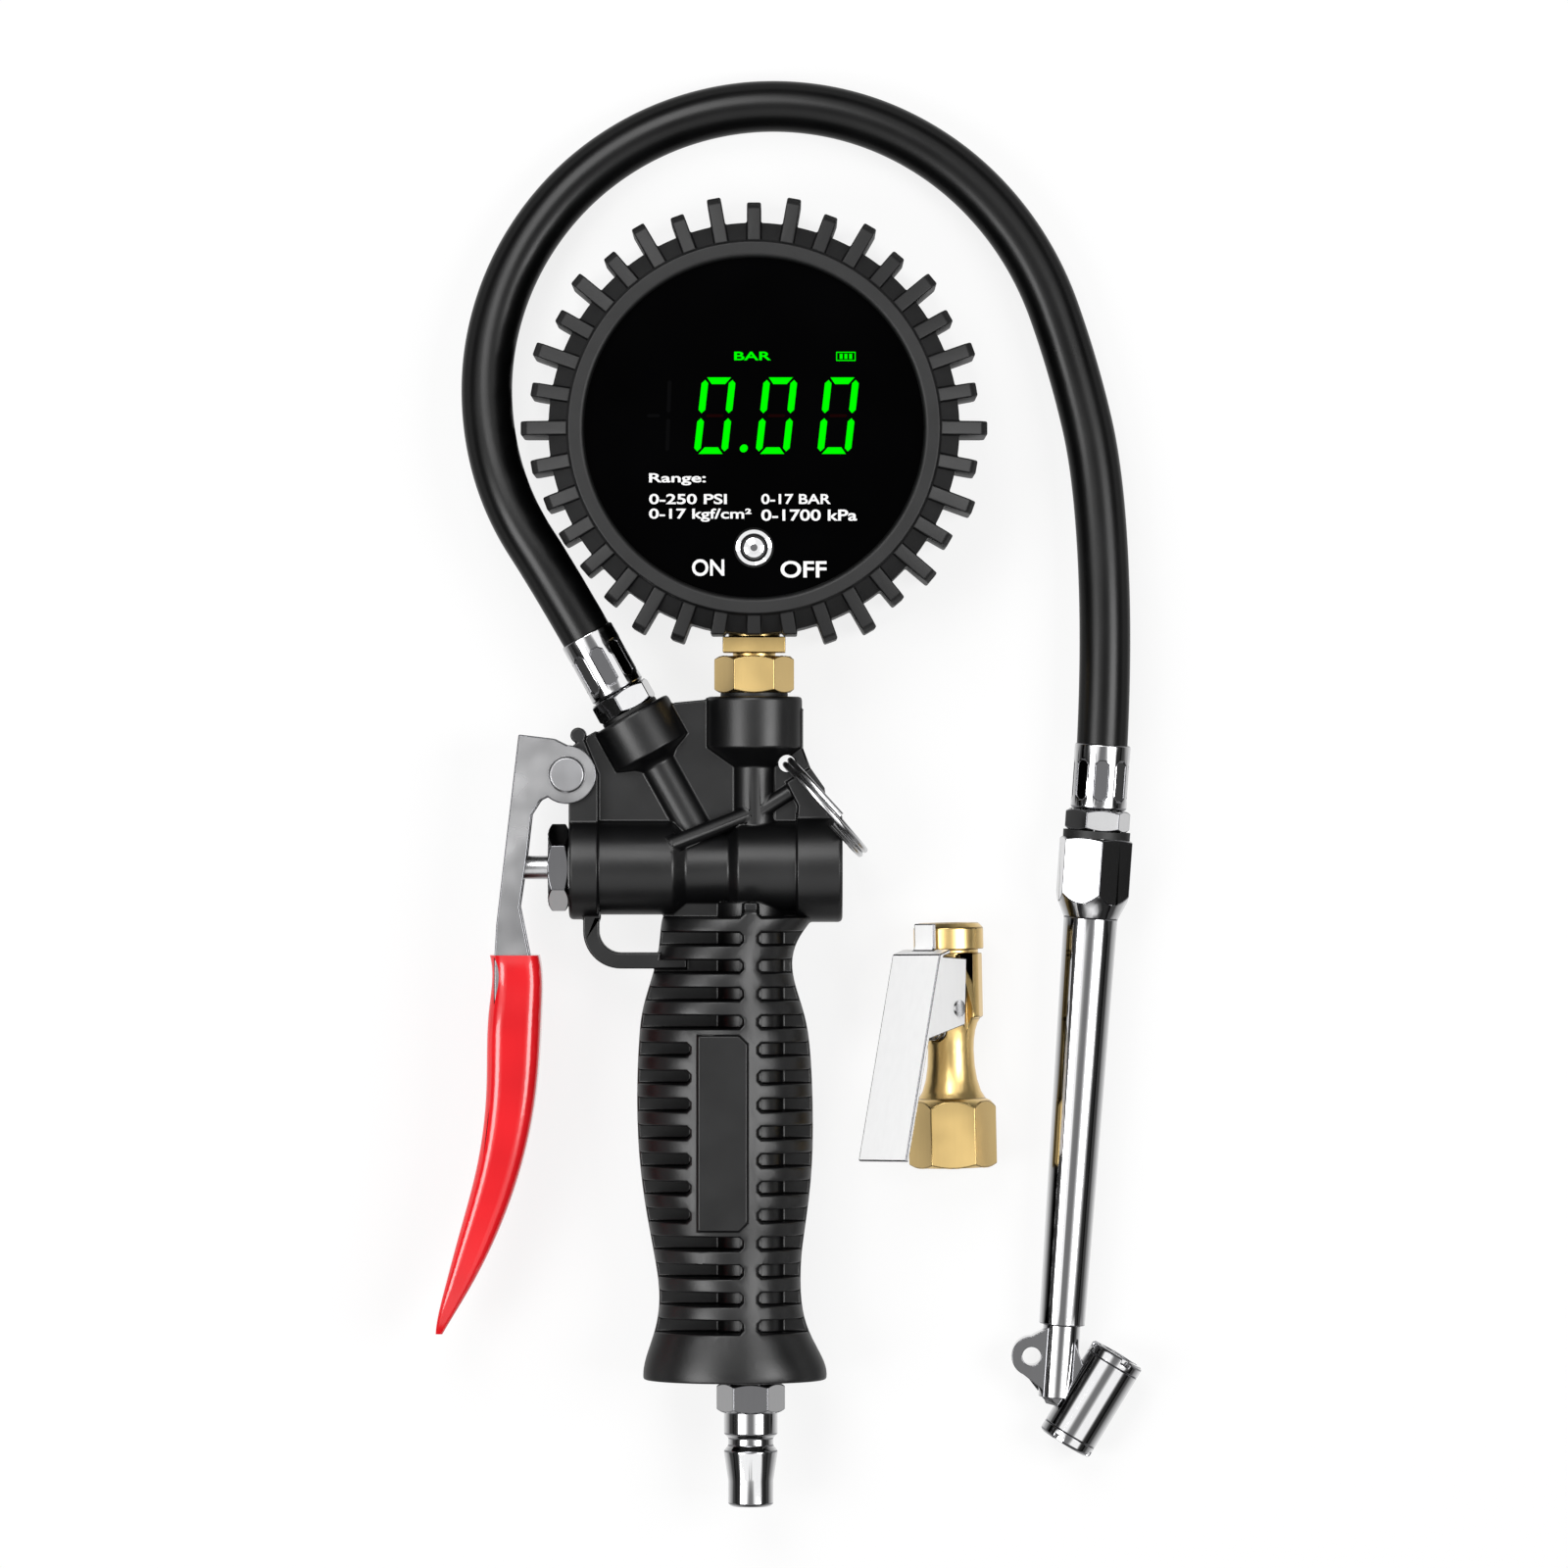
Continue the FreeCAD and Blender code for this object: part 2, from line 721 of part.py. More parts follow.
def make_batteries():
    """Tray glued on the case floor, two cells and the cover with two screws."""
    half_x, half_y = battery_space()
    wall = D.tray_wall
    low = CASE_FLOOR + D.slip_gap
    top = low + D.tray_height
    roof = top - D.tray_wall
    outer = block("tray_outer", (-half_x - wall, -half_y - wall, low),
                  (half_x + wall, half_y + wall, top), GAUGE)
    space = block("tray_space", (-half_x, -half_y, low - 1), (half_x, half_y, roof), GAUGE)
    shell = without("tray_shell", outer, space)
    bosses = []
    drills = []
    screws = []
    for side in (-1, 1):
        at = inside(GAUGE, D.cover_screw_offset * side, 0, 0)
        tag = "left" if side < 0 else "right"
        bosses.append(rod(f"tray_boss_{tag}", 1.5, low, roof + 0.5, at))
        bore = D.cover_screw_radius + D.slip_gap
        drills.append(rod(f"tray_drill_{tag}", bore, 0, roof - 1, at))
        head = [
            (0, CASE_BACK),
            (1.7, CASE_BACK),
            (1.7, CASE_BACK + 0.9),
            (D.cover_screw_radius, CASE_BACK + 0.9),
            (D.cover_screw_radius, roof - 3),
            (0, roof - 3),
        ]
        screws.append(turned(f"cover_screw_{tag}", head, at))
    tray = joined("tray_body", shell, *bosses)
    node("battery_tray", without("battery_tray", tray, *drills))
    cells = []
    for side in (-1, 1):
        depth = roof - D.battery_radius - 0.2
        at = inside(GAUGE, 0, D.battery_pitch / 2 * side, depth, ("y", 90))
        half = D.battery_length / 2
        tip = [(0, -half), (D.battery_radius, -half), (D.battery_radius, half - 1)]
        tip += [(1.9, half - 1), (1.9, half), (0, half)]
        cells.append(turned(f"cell_{'low' if side < 0 else 'high'}", tip, at))
    pair = doc.addObject("Part::Compound", "battery_cells")
    pair.Links = cells
    node("battery_cells", pair)
    edge = D.soft_gap + 0.1
    lid = block("cover_lid", (-half_x + edge, -half_y + edge, CASE_BACK),
                (half_x - edge, half_y - edge, CASE_FLOOR), GAUGE)
    sinks = []
    for side in (-1, 1):
        at = inside(GAUGE, D.cover_screw_offset * side, 0, 0)
        tag = "left" if side < 0 else "right"
        sinks.append(rod(f"cover_sink_{tag}", 1.7 + D.slip_gap, 0, CASE_BACK + 0.95, at))
        through = D.cover_screw_radius + D.slip_gap
        sinks.append(rod(f"cover_hole_{tag}", through, 0, 10, at))
    node("battery_cover", without("battery_cover", lid, *sinks))
    pair = doc.addObject("Part::Compound", "cover_screws")
    pair.Links = screws
    node("cover_screws", pair)


def make_gauge_inside():
    """Circuit board, its screws, the display block, the switch and the lens."""
    disc = rod("board_disc", BOARD_RADIUS, D.board_height, BOARD_TOP, GAUGE)
    drills = []
    screws = []
    for i in range(4):
        turn = inside(GAUGE, 0, 0, 0, ("z", 45 + 90 * i))
        at = inside(turn, BOARD_RADIUS - D.board_screw_inset, 0, 0)
        drills.append(rod(f"board_hole_{i}", D.board_screw_radius + D.slip_gap, 10, 60, at))
        shank = D.board_screw_radius - D.slip_gap
        seat = BOARD_TOP + D.slip_gap
        profile = [(0, seat - 7), (shank, seat - 7), (shank, seat)]
        profile += [(1.9, seat), (1.9, seat + 1.1), (0, seat + 1.1)]
        screws.append(turned(f"board_screw_{i}", profile, at))
    node("gauge_board", without("gauge_board", disc, *drills))
    group = doc.addObject("Part::Compound", "board_screws")
    group.Links = screws
    node("board_screws", group)
    bottom = BOARD_TOP + D.slip_gap
    half = D.display_length / 2
    low_y = D.display_y - D.display_width / 2
    high_y = D.display_y + D.display_width / 2
    screen = block("display", (-half, low_y, bottom),
                   (half, high_y, bottom + D.display_thickness), GAUGE)
    node("display_module", screen)
    top = BOARD_TOP + D.switch_height
    switch = block("switch", (-3, D.button_y - 3, bottom), (3, D.button_y + 3, top), GAUGE)
    node("tact_switch", switch)
    glass = rod("lens_disc", CASE_INNER - D.soft_gap, LENS_BACK, LENS_TOP, GAUGE)
    at = inside(GAUGE, 0, D.button_y, 0)
    hole = rod("lens_hole", D.button_ring_radius + D.slip_gap, 20, 60, at)
    node("gauge_lens", without("gauge_lens", glass, hole))


def make_button():
    """Chrome ring in the lens, the domed button that slides in it and its spring."""
    at = inside(GAUGE, 0, D.button_y, 0)
    stop = BUTTON_STOP
    bore = D.button_radius + D.slip_gap
    rim = [
        (bore, stop + 0.1),
        (D.button_ring_radius, stop + 0.1),
        (D.button_ring_radius, LENS_TOP),
        (D.button_ring_radius, LENS_TOP + 0.5),
        (D.button_ring_radius - 0.5, LENS_TOP + 0.9),
        (bore, LENS_TOP + 0.5),
    ]
    node("button_ring", turned("button_ring", rim, at))
    reach = D.button_radius
    dome = [(0, stop - 1), (4.2, stop - 1), (4.2, stop), (reach, stop)]
    for i in range(5):
        swing = 15 + 15 * i
        height = BUTTON_TOP - 1.5 + 1.5 * math.sin(math.radians(swing))
        dome.append((reach * math.cos(math.radians(swing)), height))
    dome.append((0, BUTTON_TOP))
    node("power_button", turned("power_button", dome, at))
    seat = BOARD_TOP + D.switch_height + D.slip_gap
    length = stop - 1 - seat - D.slip_gap
    spring = coil("button_spring", 2.2, 0.15, length, 2, inside(at, 0, 0, seat))
    node("button_spring", spring)


def make_gauge_stem():
    """Brass stem through the case wall, its lock nut, washer and the sensor on it."""
    inner_end = GAUGE_Y - CASE_INNER + 6
    flange_in = GAUGE_Y - CASE_INNER + 2.9
    flange_out = GAUGE_Y - CASE_INNER + 0.9
    block_low = D.stem_block_top - D.stem_block_height
    stud_end = D.gauge_boss_top - D.port_depth + 0.3
    profile = [
        (D.stem_bore_radius, stud_end),
        (D.stem_neck_radius - 0.7, stud_end),
        (D.stem_neck_radius, stud_end + 0.7),
        (D.stem_neck_radius, block_low + 0.1),
        (D.stem_wall_radius, block_low + 0.1),
        (D.stem_wall_radius, flange_out),
        (D.stem_flange_radius, flange_out),
        (D.stem_flange_radius, flange_in),
        (4.0, flange_in),
        (4.0, inner_end),
        (D.stem_bore_radius, inner_end),
    ]
    core = turned("stem_core", profile, GAUGE_PORT)
    half = D.stem_block_width / 2
    flats = block("stem_flats", (-half, -half, block_low), (half, half, D.stem_block_top),
                  GAUGE_PORT)
    bore = rod("stem_bore", D.stem_bore_radius, -80, -30, GAUGE_PORT)
    node("gauge_stem", without("gauge_stem", joined("stem_whole", core, flats), bore))
    washer_top = D.gauge_boss_top + D.slip_gap + D.washer_thickness
    nut_low = washer_top + D.slip_gap
    nut_high = nut_low + D.gauge_nut_height
    nut = hexagon("gauge_nut_hex", D.gauge_nut_flats, nut_low, nut_high, GAUGE_PORT)
    clear = rod("gauge_nut_bore", D.stem_neck_radius + D.slip_gap, -80, -30, GAUGE_PORT)
    node("gauge_nut", without("gauge_nut", nut, clear))
    low = D.gauge_boss_top + D.slip_gap
    inner = D.stem_neck_radius + D.soft_gap
    node("gauge_seal", ring("gauge_seal", inner, 7.9, low, washer_top, GAUGE_PORT))
    start = inner_end + D.slip_gap
    can = [
        (0, start + 1.5),
        (D.stem_bore_radius, start + 1.5),
        (D.stem_bore_radius, start),
        (D.sensor_radius, start),
        (D.sensor_radius, start + D.sensor_length - 1),
        (D.sensor_radius - 1, start + D.sensor_length),
        (0, start + D.sensor_length),
    ]
    node("pressure_sensor", turned("pressure_sensor", can, GAUGE_PORT))


def barrel_profile():
    """Outer profile of the valve barrel along X."""
    left_inner = D.barrel_left + D.left_flange_length
    right_inner = D.barrel_right - D.right_flange_length
    return [
        (0, D.barrel_left),
        (D.left_flange_radius - 0.6, D.barrel_left),
        (D.left_flange_radius, D.barrel_left + 0.6),
        (D.left_flange_radius, left_inner),
        (D.barrel_radius, left_inner),
        (D.barrel_radius, D.waist_left - D.waist_cone),
        (D.waist_radius, D.waist_left),
        (D.waist_radius, D.waist_right),
        (D.barrel_radius, D.waist_right + D.waist_cone - 0.8),
        (D.barrel_radius, right_inner),
        (D.right_flange_radius, right_inner),
        (D.right_flange_radius, D.barrel_right - 0.6),
        (D.right_flange_radius - 0.6, D.barrel_right),
        (0, D.barrel_right),
    ]


def make_ports():
    """Gauge port and hose port: a boss with a taper and a neck down to the barrel."""
    top = D.gauge_boss_top
    low = top - D.gauge_boss_length
    gauge = [
        (0, top),
        (D.gauge_boss_radius - 0.5, top),
        (D.gauge_boss_radius, top - 0.5),
        (D.gauge_boss_radius, low),
        (D.gauge_neck_radius, D.gauge_neck_start),
        (D.gauge_neck_radius, D.barrel_y),
        (0, D.barrel_y),
    ]
    end = D.hose_boss_length
    hose = [
        (0, 0),
        (D.hose_boss_radius - 0.5, 0),
        (D.hose_boss_radius, -0.5),
        (D.hose_boss_radius, 1.6 - end),
        (D.hose_neck_radius + 1.4, -end),
        (D.hose_neck_radius, -end - 1.4),
        (D.hose_neck_radius, -D.hose_neck_end),
        (0, -D.hose_neck_end),
    ]
    return [turned("gauge_boss", gauge, GAUGE_PORT), turned("hose_boss", hose, HOSE_PORT)]


def tube_between(name, radius, start, end, height, fall=0):
    """A round rib or passage between two points, that may fall towards its end."""
    rise = math.degrees(math.atan2(end[1] - start[1], end[0] - start[0]))
    flat = math.hypot(end[0] - start[0], end[1] - start[1])
    dip = 90 + math.degrees(math.atan2(fall, flat))
    at = frame(start[0], D.barrel_y + start[1], D.middle_height + height, ("z", rise), ("y", dip))
    return rod(name, radius, 0, math.hypot(flat, fall), at)


def make_web():
    """Web between the ports, the key ring's lug and the two slanted ribs."""
    half = D.web_thickness / 2
    right = D.barrel_right
    edge = D.gauge_boss_radius
    web = [
        (D.barrel_left + 3.4, D.pivot_y + 8.7),
        (D.barrel_left + 7.4, D.pivot_y + 10.2),
        (D.hose_port_x, D.hose_port_y - 2),
        (D.hose_port_x + 10.4, D.hose_port_y + 2.7),
        (-edge, D.gauge_boss_top - 0.7),
        (edge, D.gauge_boss_top - 3),
        (edge + 0.2, D.lug_hole_y + 3.7),
        (D.lug_hole_x + 5.5, D.lug_hole_y - 1),
        (D.lug_hole_x + 8.8, D.lug_hole_y - 5.7),
        (D.lug_hole_x + 9.6, D.barrel_y + 12.5),
        (right, D.barrel_y + 11),
        (right, D.barrel_y),
        (D.barrel_left + 3.4, D.barrel_y),
    ]
    thick = D.lug_thickness / 2
    lug = [
        (D.lug_hole_x + 1.8, D.barrel_y),
        (D.lug_hole_x + 2.6, D.barrel_y + 14.5),
        (D.lug_hole_x - 0.2, D.lug_hole_y - 4.4),
        (D.lug_hole_x + 1.8, D.lug_hole_y - 3.2),
        (D.lug_hole_x + 5.5, D.lug_hole_y - 1),
        (D.lug_hole_x + 8.8, D.lug_hole_y - 5.7),
        (D.lug_hole_x + 9.6, D.barrel_y + 12.5),
        (right, D.barrel_y + 11),
        (right, D.barrel_y),
    ]
    return [
        plate("web", web, -half, D.web_thickness, GUN),
        plate("lug", lug, -thick, D.lug_thickness, GUN),
        tube_between("rib_low", D.rib_radius, (-19.8, 5.3), (-0.6, 12.9), 8.6, 5.6),
        tube_between("rib_high", D.rib_radius, (-0.3, 12.2), (9.2, 18.3), half + 0.9),
    ]


def make_clevis():
    """Left lug that carries the lever's pin, with the stop above it."""
    half = D.clevis_thickness / 2
    at = frame(D.pivot_x, D.pivot_y, D.middle_height)
    strip = [
        (D.barrel_left, D.barrel_y),
        (D.barrel_left + D.left_flange_length, D.barrel_y),
        (D.barrel_left + D.left_flange_length, D.pivot_y),
        (D.barrel_left + 3.4, D.pivot_y + 8.7),
        (D.barrel_left, D.pivot_y + 6),
    ]
    stop = frame(D.pivot_x + 2.6, D.pivot_y + 9.2, D.middle_height)
    return [
        rod("clevis_eye", D.clevis_radius, -half, half, at),
        plate("clevis_strip", strip, -half, D.clevis_thickness, GUN),
        rod("clevis_stop", 1.8, -half, half, stop),
    ]


def make_guard():
    """Finger guard: a strap down from the barrel, round a bend and into the grip."""
    half = D.guard_thickness / 2
    inner = D.guard_bend - D.guard_width / 2
    outer = D.guard_bend + D.guard_width / 2
    centre_x = D.guard_x + D.guard_bend
    centre_y = D.guard_y + D.guard_bend
    down = block("guard_down", (D.guard_x - D.guard_width / 2, centre_y, -half),
                 (D.guard_x + D.guard_width / 2, D.barrel_y - 8, half), GUN)
    across = block("guard_across", (centre_x, D.guard_y - D.guard_width / 2, -half),
                   (D.grip_x - 15, D.guard_y + D.guard_width / 2, half), GUN)
    at = inside(GUN, centre_x, centre_y, 0, ("z", 180))
    bend = rod("guard_bend_outer", outer, -half, half, at)
    bend.Angle = 90
    hollow = rod("guard_bend_inner", inner, -half, half, at)
    return [down, across, without("guard_bend", bend, hollow)]


def make_grip():
    """Grip: a body lofted through ovals, slotted down to a web and a round core."""
    ovals = []
    for i, (y, left, right, depth) in enumerate(GRIP_SECTIONS):
        oval = doc.addObject("Part::Ellipse", f"grip_oval_{i}")
        half = (right - left) / 2
        bind(oval, MajorRadius=half, MinorRadius=depth)
        x = (right + left) / 2 - SIZES["grip_x"]
        turns = [("x", -90)]
        oval.setExpression("Placement", frame(D.grip_x + x, y, D.middle_height, *turns))
        ovals.append(oval)
    doc.recompute()
    skin = doc.addObject("Part::Loft", "grip_skin")
    skin.Sections = ovals
    skin.Solid = True
    skin.Ruled = False
    right_start = D.grip_x + D.spine_width / 2
    left_start = D.grip_x - D.spine_width / 2
    label_edge = D.label_left - 1.7
    slots = []
    for i in range(round(SIZES["slot_count"])):
        middle = D.slot_first_y - D.slot_pitch * i
        low = middle - D.slot_height / 2
        high = middle + D.slot_height / 2
        beside_label = SIZES["label_bottom"] - 2 < middle.number < SIZES["label_top"] + 1
        left_end = label_edge if beside_label else left_start
        if i == 0:
            high = high + 1.5
        for name, end, way in (("right", right_start, 1), ("left", left_end, -1)):
            inner = end + D.slot_corner * way
            outline = [(40 * way, low), (inner, low), (end, low + D.slot_corner)]
            outline += [(end, high - D.slot_corner), (inner, high), (40 * way, high)]
            slots.append(plate(f"slot_{name}_{i}", outline, -30, 60, GUN))
    core = rod("grip_core", D.grip_core_radius, D.grip_bottom + 1, D.barrel_y, GRIP_AXIS)
    half = D.grip_web / 2
    web = block("grip_web", (-60, -240, -half), (60, -90, half), GUN)
    comb = without("grip_comb", joined("grip_slots", *slots), joined("grip_kept", web, core))
    ribbed = without("grip_ribbed", skin, comb)
    corner = 2.0
    label = [
        (D.label_left, D.label_bottom),
        (D.label_right - corner, D.label_bottom),
        (D.label_right, D.label_bottom + corner),
        (D.label_right, D.label_top - corner),
        (D.label_right - corner, D.label_top),
        (D.label_left, D.label_top),
    ]
    badge = plate("grip_label", label, D.grip_web, D.label_rise - D.grip_web, GUN)
    half_spine = D.spine_width / 2
    spine = block("grip_spine", (D.grip_x - half_spine, D.slot_first_y, 0),
                  (D.grip_x + half_spine, D.barrel_y - 8, 14.5), GUN)
    return [ribbed, badge, spine]


def make_gun_body():
    """One moulding: barrel, ports, web, clevis, guard and grip, less its bores."""
    outer = [turned("barrel", barrel_profile(), BARREL)]
    outer += make_ports() + make_web() + make_clevis() + make_guard() + make_grip()
    solid = joined("gun_solid", *outer)
    thread_start = D.right_chamber_end
    chambers = [
        (0, D.barrel_left - 1),
        (D.chamber_radius, D.barrel_left - 1),
        (D.chamber_radius, D.left_chamber_end),
        (D.waist_bore_radius, D.left_chamber_end),
        (D.waist_bore_radius, D.right_chamber_start),
        (D.chamber_radius, D.right_chamber_start),
        (D.chamber_radius, thread_start),
        (D.end_thread_radius, thread_start),
        (D.end_thread_radius, D.barrel_right + 1),
        (0, D.barrel_right + 1),
    ]
    port = D.port_thread_radius
    gauge_low = D.gauge_boss_top - D.port_depth
    pin_at = frame(D.pivot_x, D.pivot_y, 0)
    hole_at = frame(D.lug_hole_x, D.lug_hole_y, 0)
    inlet_top = D.grip_bottom + D.inlet_thread_depth
    bores = [
        turned("chambers", chambers, BARREL),
        rod("gauge_thread", port, gauge_low, D.gauge_boss_top + 1, GAUGE_PORT),
        rod("gauge_bore", D.air_passage_radius, -91, gauge_low + 1, GAUGE_PORT),
        rod("hose_thread", port, -D.port_depth, 1, HOSE_PORT),
        rod("hose_passage", D.air_passage_radius, 1 - D.hose_neck_end, -5, HOSE_PORT),
        tube_between("sense_passage", 0.9, (-13.7, 8.5), (0.2, 13.0), 0),
        rod("grip_bore", D.grip_bore_radius, D.grip_bottom - 1, D.barrel_y, GRIP_AXIS),
        rod("inlet_thread", D.inlet_thread_radius + D.slip_gap, D.grip_bottom - 1, inlet_top,
            GRIP_AXIS),
        rod("pivot_hole", D.pin_radius + D.slip_gap, 0, 60, pin_at),
        rod("lug_hole", D.lug_hole_radius, 0, 60, hole_at),
    ]
    node("gun_body", without("gun_body", solid, *bores))


def make_inlet():
    """Steel plug with its hexagon, the seal above it and the filter in the bore."""
    seal_low = D.grip_bottom - D.slip_gap - D.washer_thickness
    hex_high = seal_low - D.slip_gap
    hex_low = hex_high - D.plug_hex_length
    land = hex_low - 5.1
    tip = [
        (0, hex_high + D.inlet_thread_depth - 1.2),
        (D.inlet_thread_radius - 0.6, hex_high + D.inlet_thread_depth - 1.2),
        (D.inlet_thread_radius, hex_high + D.inlet_thread_depth - 1.8),
        (D.inlet_thread_radius, hex_low + 1),
        (D.plug_land_radius, hex_low + 1),
        (D.plug_land_radius, land),
        (D.plug_groove_radius, land - 1),
        (D.plug_groove_radius, land - 2.7),
        (D.plug_land_radius, land - 4),
        (D.plug_land_radius, land - 4.4),
        (D.plug_tip_radius, land - 11),
        (D.plug_tip_radius, land - 16.4),
        (D.plug_tip_radius - 0.6, land - 17),
        (0, land - 17),
    ]
    core = turned("plug_core", tip, GRIP_AXIS)
    nut = hexagon("plug_hex", D.plug_flats, hex_low, hex_high, GRIP_AXIS)
    bore = rod("plug_bore", D.plug_bore_radius, -260, -200, GRIP_AXIS)
    node("inlet_plug", without("inlet_plug", joined("plug_whole", core, nut), bore))
    inner = D.inlet_thread_radius + D.soft_gap
    top = seal_low + D.washer_thickness
    node("inlet_seal", ring("inlet_seal", inner, 7.4, seal_low, top, GRIP_AXIS))
    start = hex_high + D.inlet_thread_depth + 0.9
    radius = D.grip_bore_radius - D.slip_gap
    mesh = rod("filter", radius, start, start + D.filter_length, GRIP_AXIS)
    node("inlet_filter", mesh)


def lever_x(y):
    """X of the lever's inner face at a height of the gun, on its straight upper part."""
    (top_x, top_y), (low_x, low_y) = LEVER_BACK[0], LEVER_BACK[1]
    slope = (low_x - top_x) / (low_y - top_y)
    return D.pivot_x + top_x + (y - D.pivot_y - top_y) * slope + D.sheet


def make_valve():
    """Gland nut, stem, seal, seat, poppet, spring and end cap, all along the barrel."""
    hex_end = D.barrel_left - D.slip_gap
    hex_start = hex_end - D.gland_hex_length
    spigot_end = hex_end + D.gland_spigot
    nut = hexagon("gland_hex", D.gland_flats, hex_start, hex_end, BARREL, 90)
    spigot = rod("gland_spigot", D.chamber_radius - D.slip_gap, hex_end - 1, spigot_end, BARREL)
    bore = rod("gland_bore", D.stem_radius + D.slip_gap, -80, 0, BARREL)
    node("gland_nut", without("gland_nut", joined("gland_whole", nut, spigot), bore))
    seal_start = spigot_end + D.slip_gap
    seal_end = seal_start + 2.4
    inner = D.stem_radius + D.slip_gap
    outer = D.chamber_radius - D.slip_gap
    node("stem_seal", ring("stem_seal", inner, outer, seal_start, seal_end, BARREL))
    seat_start = D.right_chamber_start + D.slip_gap
    seat_end = seat_start + D.seat_thickness
    node("valve_seat", ring("valve_seat", D.seat_hole_radius, outer, seat_start, seat_end, BARREL))
    poppet_start = seat_end + D.slip_gap
    poppet_end = poppet_start + D.poppet_thickness
    tip = lever_x(D.barrel_y) + D.stem_touch_gap + 0.15
    collar = seal_end + D.slip_gap
    stem = [
        (0, tip),
        (1.2, tip + 0.15),
        (2.2, tip + 0.8),
        (D.stem_radius, tip + 1.8),
        (D.stem_radius, collar),
        (4.6, collar),
        (4.6, collar + 2.2),
        (D.stem_radius, collar + 3.2),
        (D.stem_radius, D.left_chamber_end - 3),
        (D.pushrod_radius, D.left_chamber_end - 2),
        (D.pushrod_radius, poppet_start - D.slip_gap),
        (0, poppet_start - D.slip_gap),
    ]
    node("valve_stem", turned("valve_stem", stem, BARREL))
    poppet = [
        (0, poppet_start),
        (D.poppet_radius, poppet_start),
        (D.poppet_radius, poppet_end - 0.8),
        (D.poppet_radius - 0.8, poppet_end),
        (2.2, poppet_end),
        (2.2, poppet_end + 3),
        (0, poppet_end + 3),
    ]
    node("valve_poppet", turned("valve_poppet", poppet, BARREL))
    cap_start = D.right_chamber_end + D.slip_gap
    spring_start = poppet_end + D.slip_gap
    length = cap_start - D.slip_gap - spring_start
    at = inside(BARREL, 0, 0, spring_start)
    spring = coil("valve_spring", D.valve_spring_radius, D.valve_spring_wire, length, 5, at)
    node("valve_spring", spring)
    plug = [
        (0, cap_start),
        (D.end_thread_radius - D.slip_gap, cap_start),
        (D.end_thread_radius - D.slip_gap, D.barrel_right - 0.4),
        (0, D.barrel_right - 0.4),
    ]
    socket_start = D.barrel_right - 5
    socket = prism("end_cap_key", 6, D.end_cap_socket, socket_start, D.barrel_right + 1, BARREL)
    cap = turned("end_cap_disc", plug, BARREL)
    node("barrel_end_cap", without("barrel_end_cap", cap, socket))


def make_lever():
    """Steel lever folded to a channel, open to the grip, with two ears on the pin."""
    at = frame(D.pivot_x, D.pivot_y, D.middle_height)
    inner_half = D.clevis_thickness / 2 + D.lever_gap
    outer_half = inner_half + D.sheet
    outline = LEVER_BACK + LEVER_FRONT
    side = plate("lever_side", outline, -outer_half, 2 * outer_half, at)
    bridge = [LEVER_BACK[0], LEVER_FRONT[-1], (0, -3), (0, D.ear_radius), (-3, 8.4)]
    link = plate("lever_bridge", bridge, -outer_half, 2 * outer_half, at)
    ear = rod("lever_ear", D.ear_radius, -outer_half, outer_half, at)
    whole = joined("lever_whole", side, link, ear)
    hollow = [(D.sheet + x, y) for x, y in LEVER_BACK]
    (top_x, top_y), (low_x, low_y) = LEVER_BACK[0], LEVER_BACK[-1]
    hollow = [(D.sheet + top_x, top_y + 5)] + hollow + [(D.sheet + low_x, low_y - 5)]
    hollow += [(20, low_y - 5), (20, top_y + 5)]
    channel = plate("lever_channel", hollow, -inner_half, 2 * inner_half, at)
    pin = rod("lever_pin_hole", D.pin_radius + D.slip_gap, -20, 20, at)
    node("lever", without("lever", whole, channel, pin))


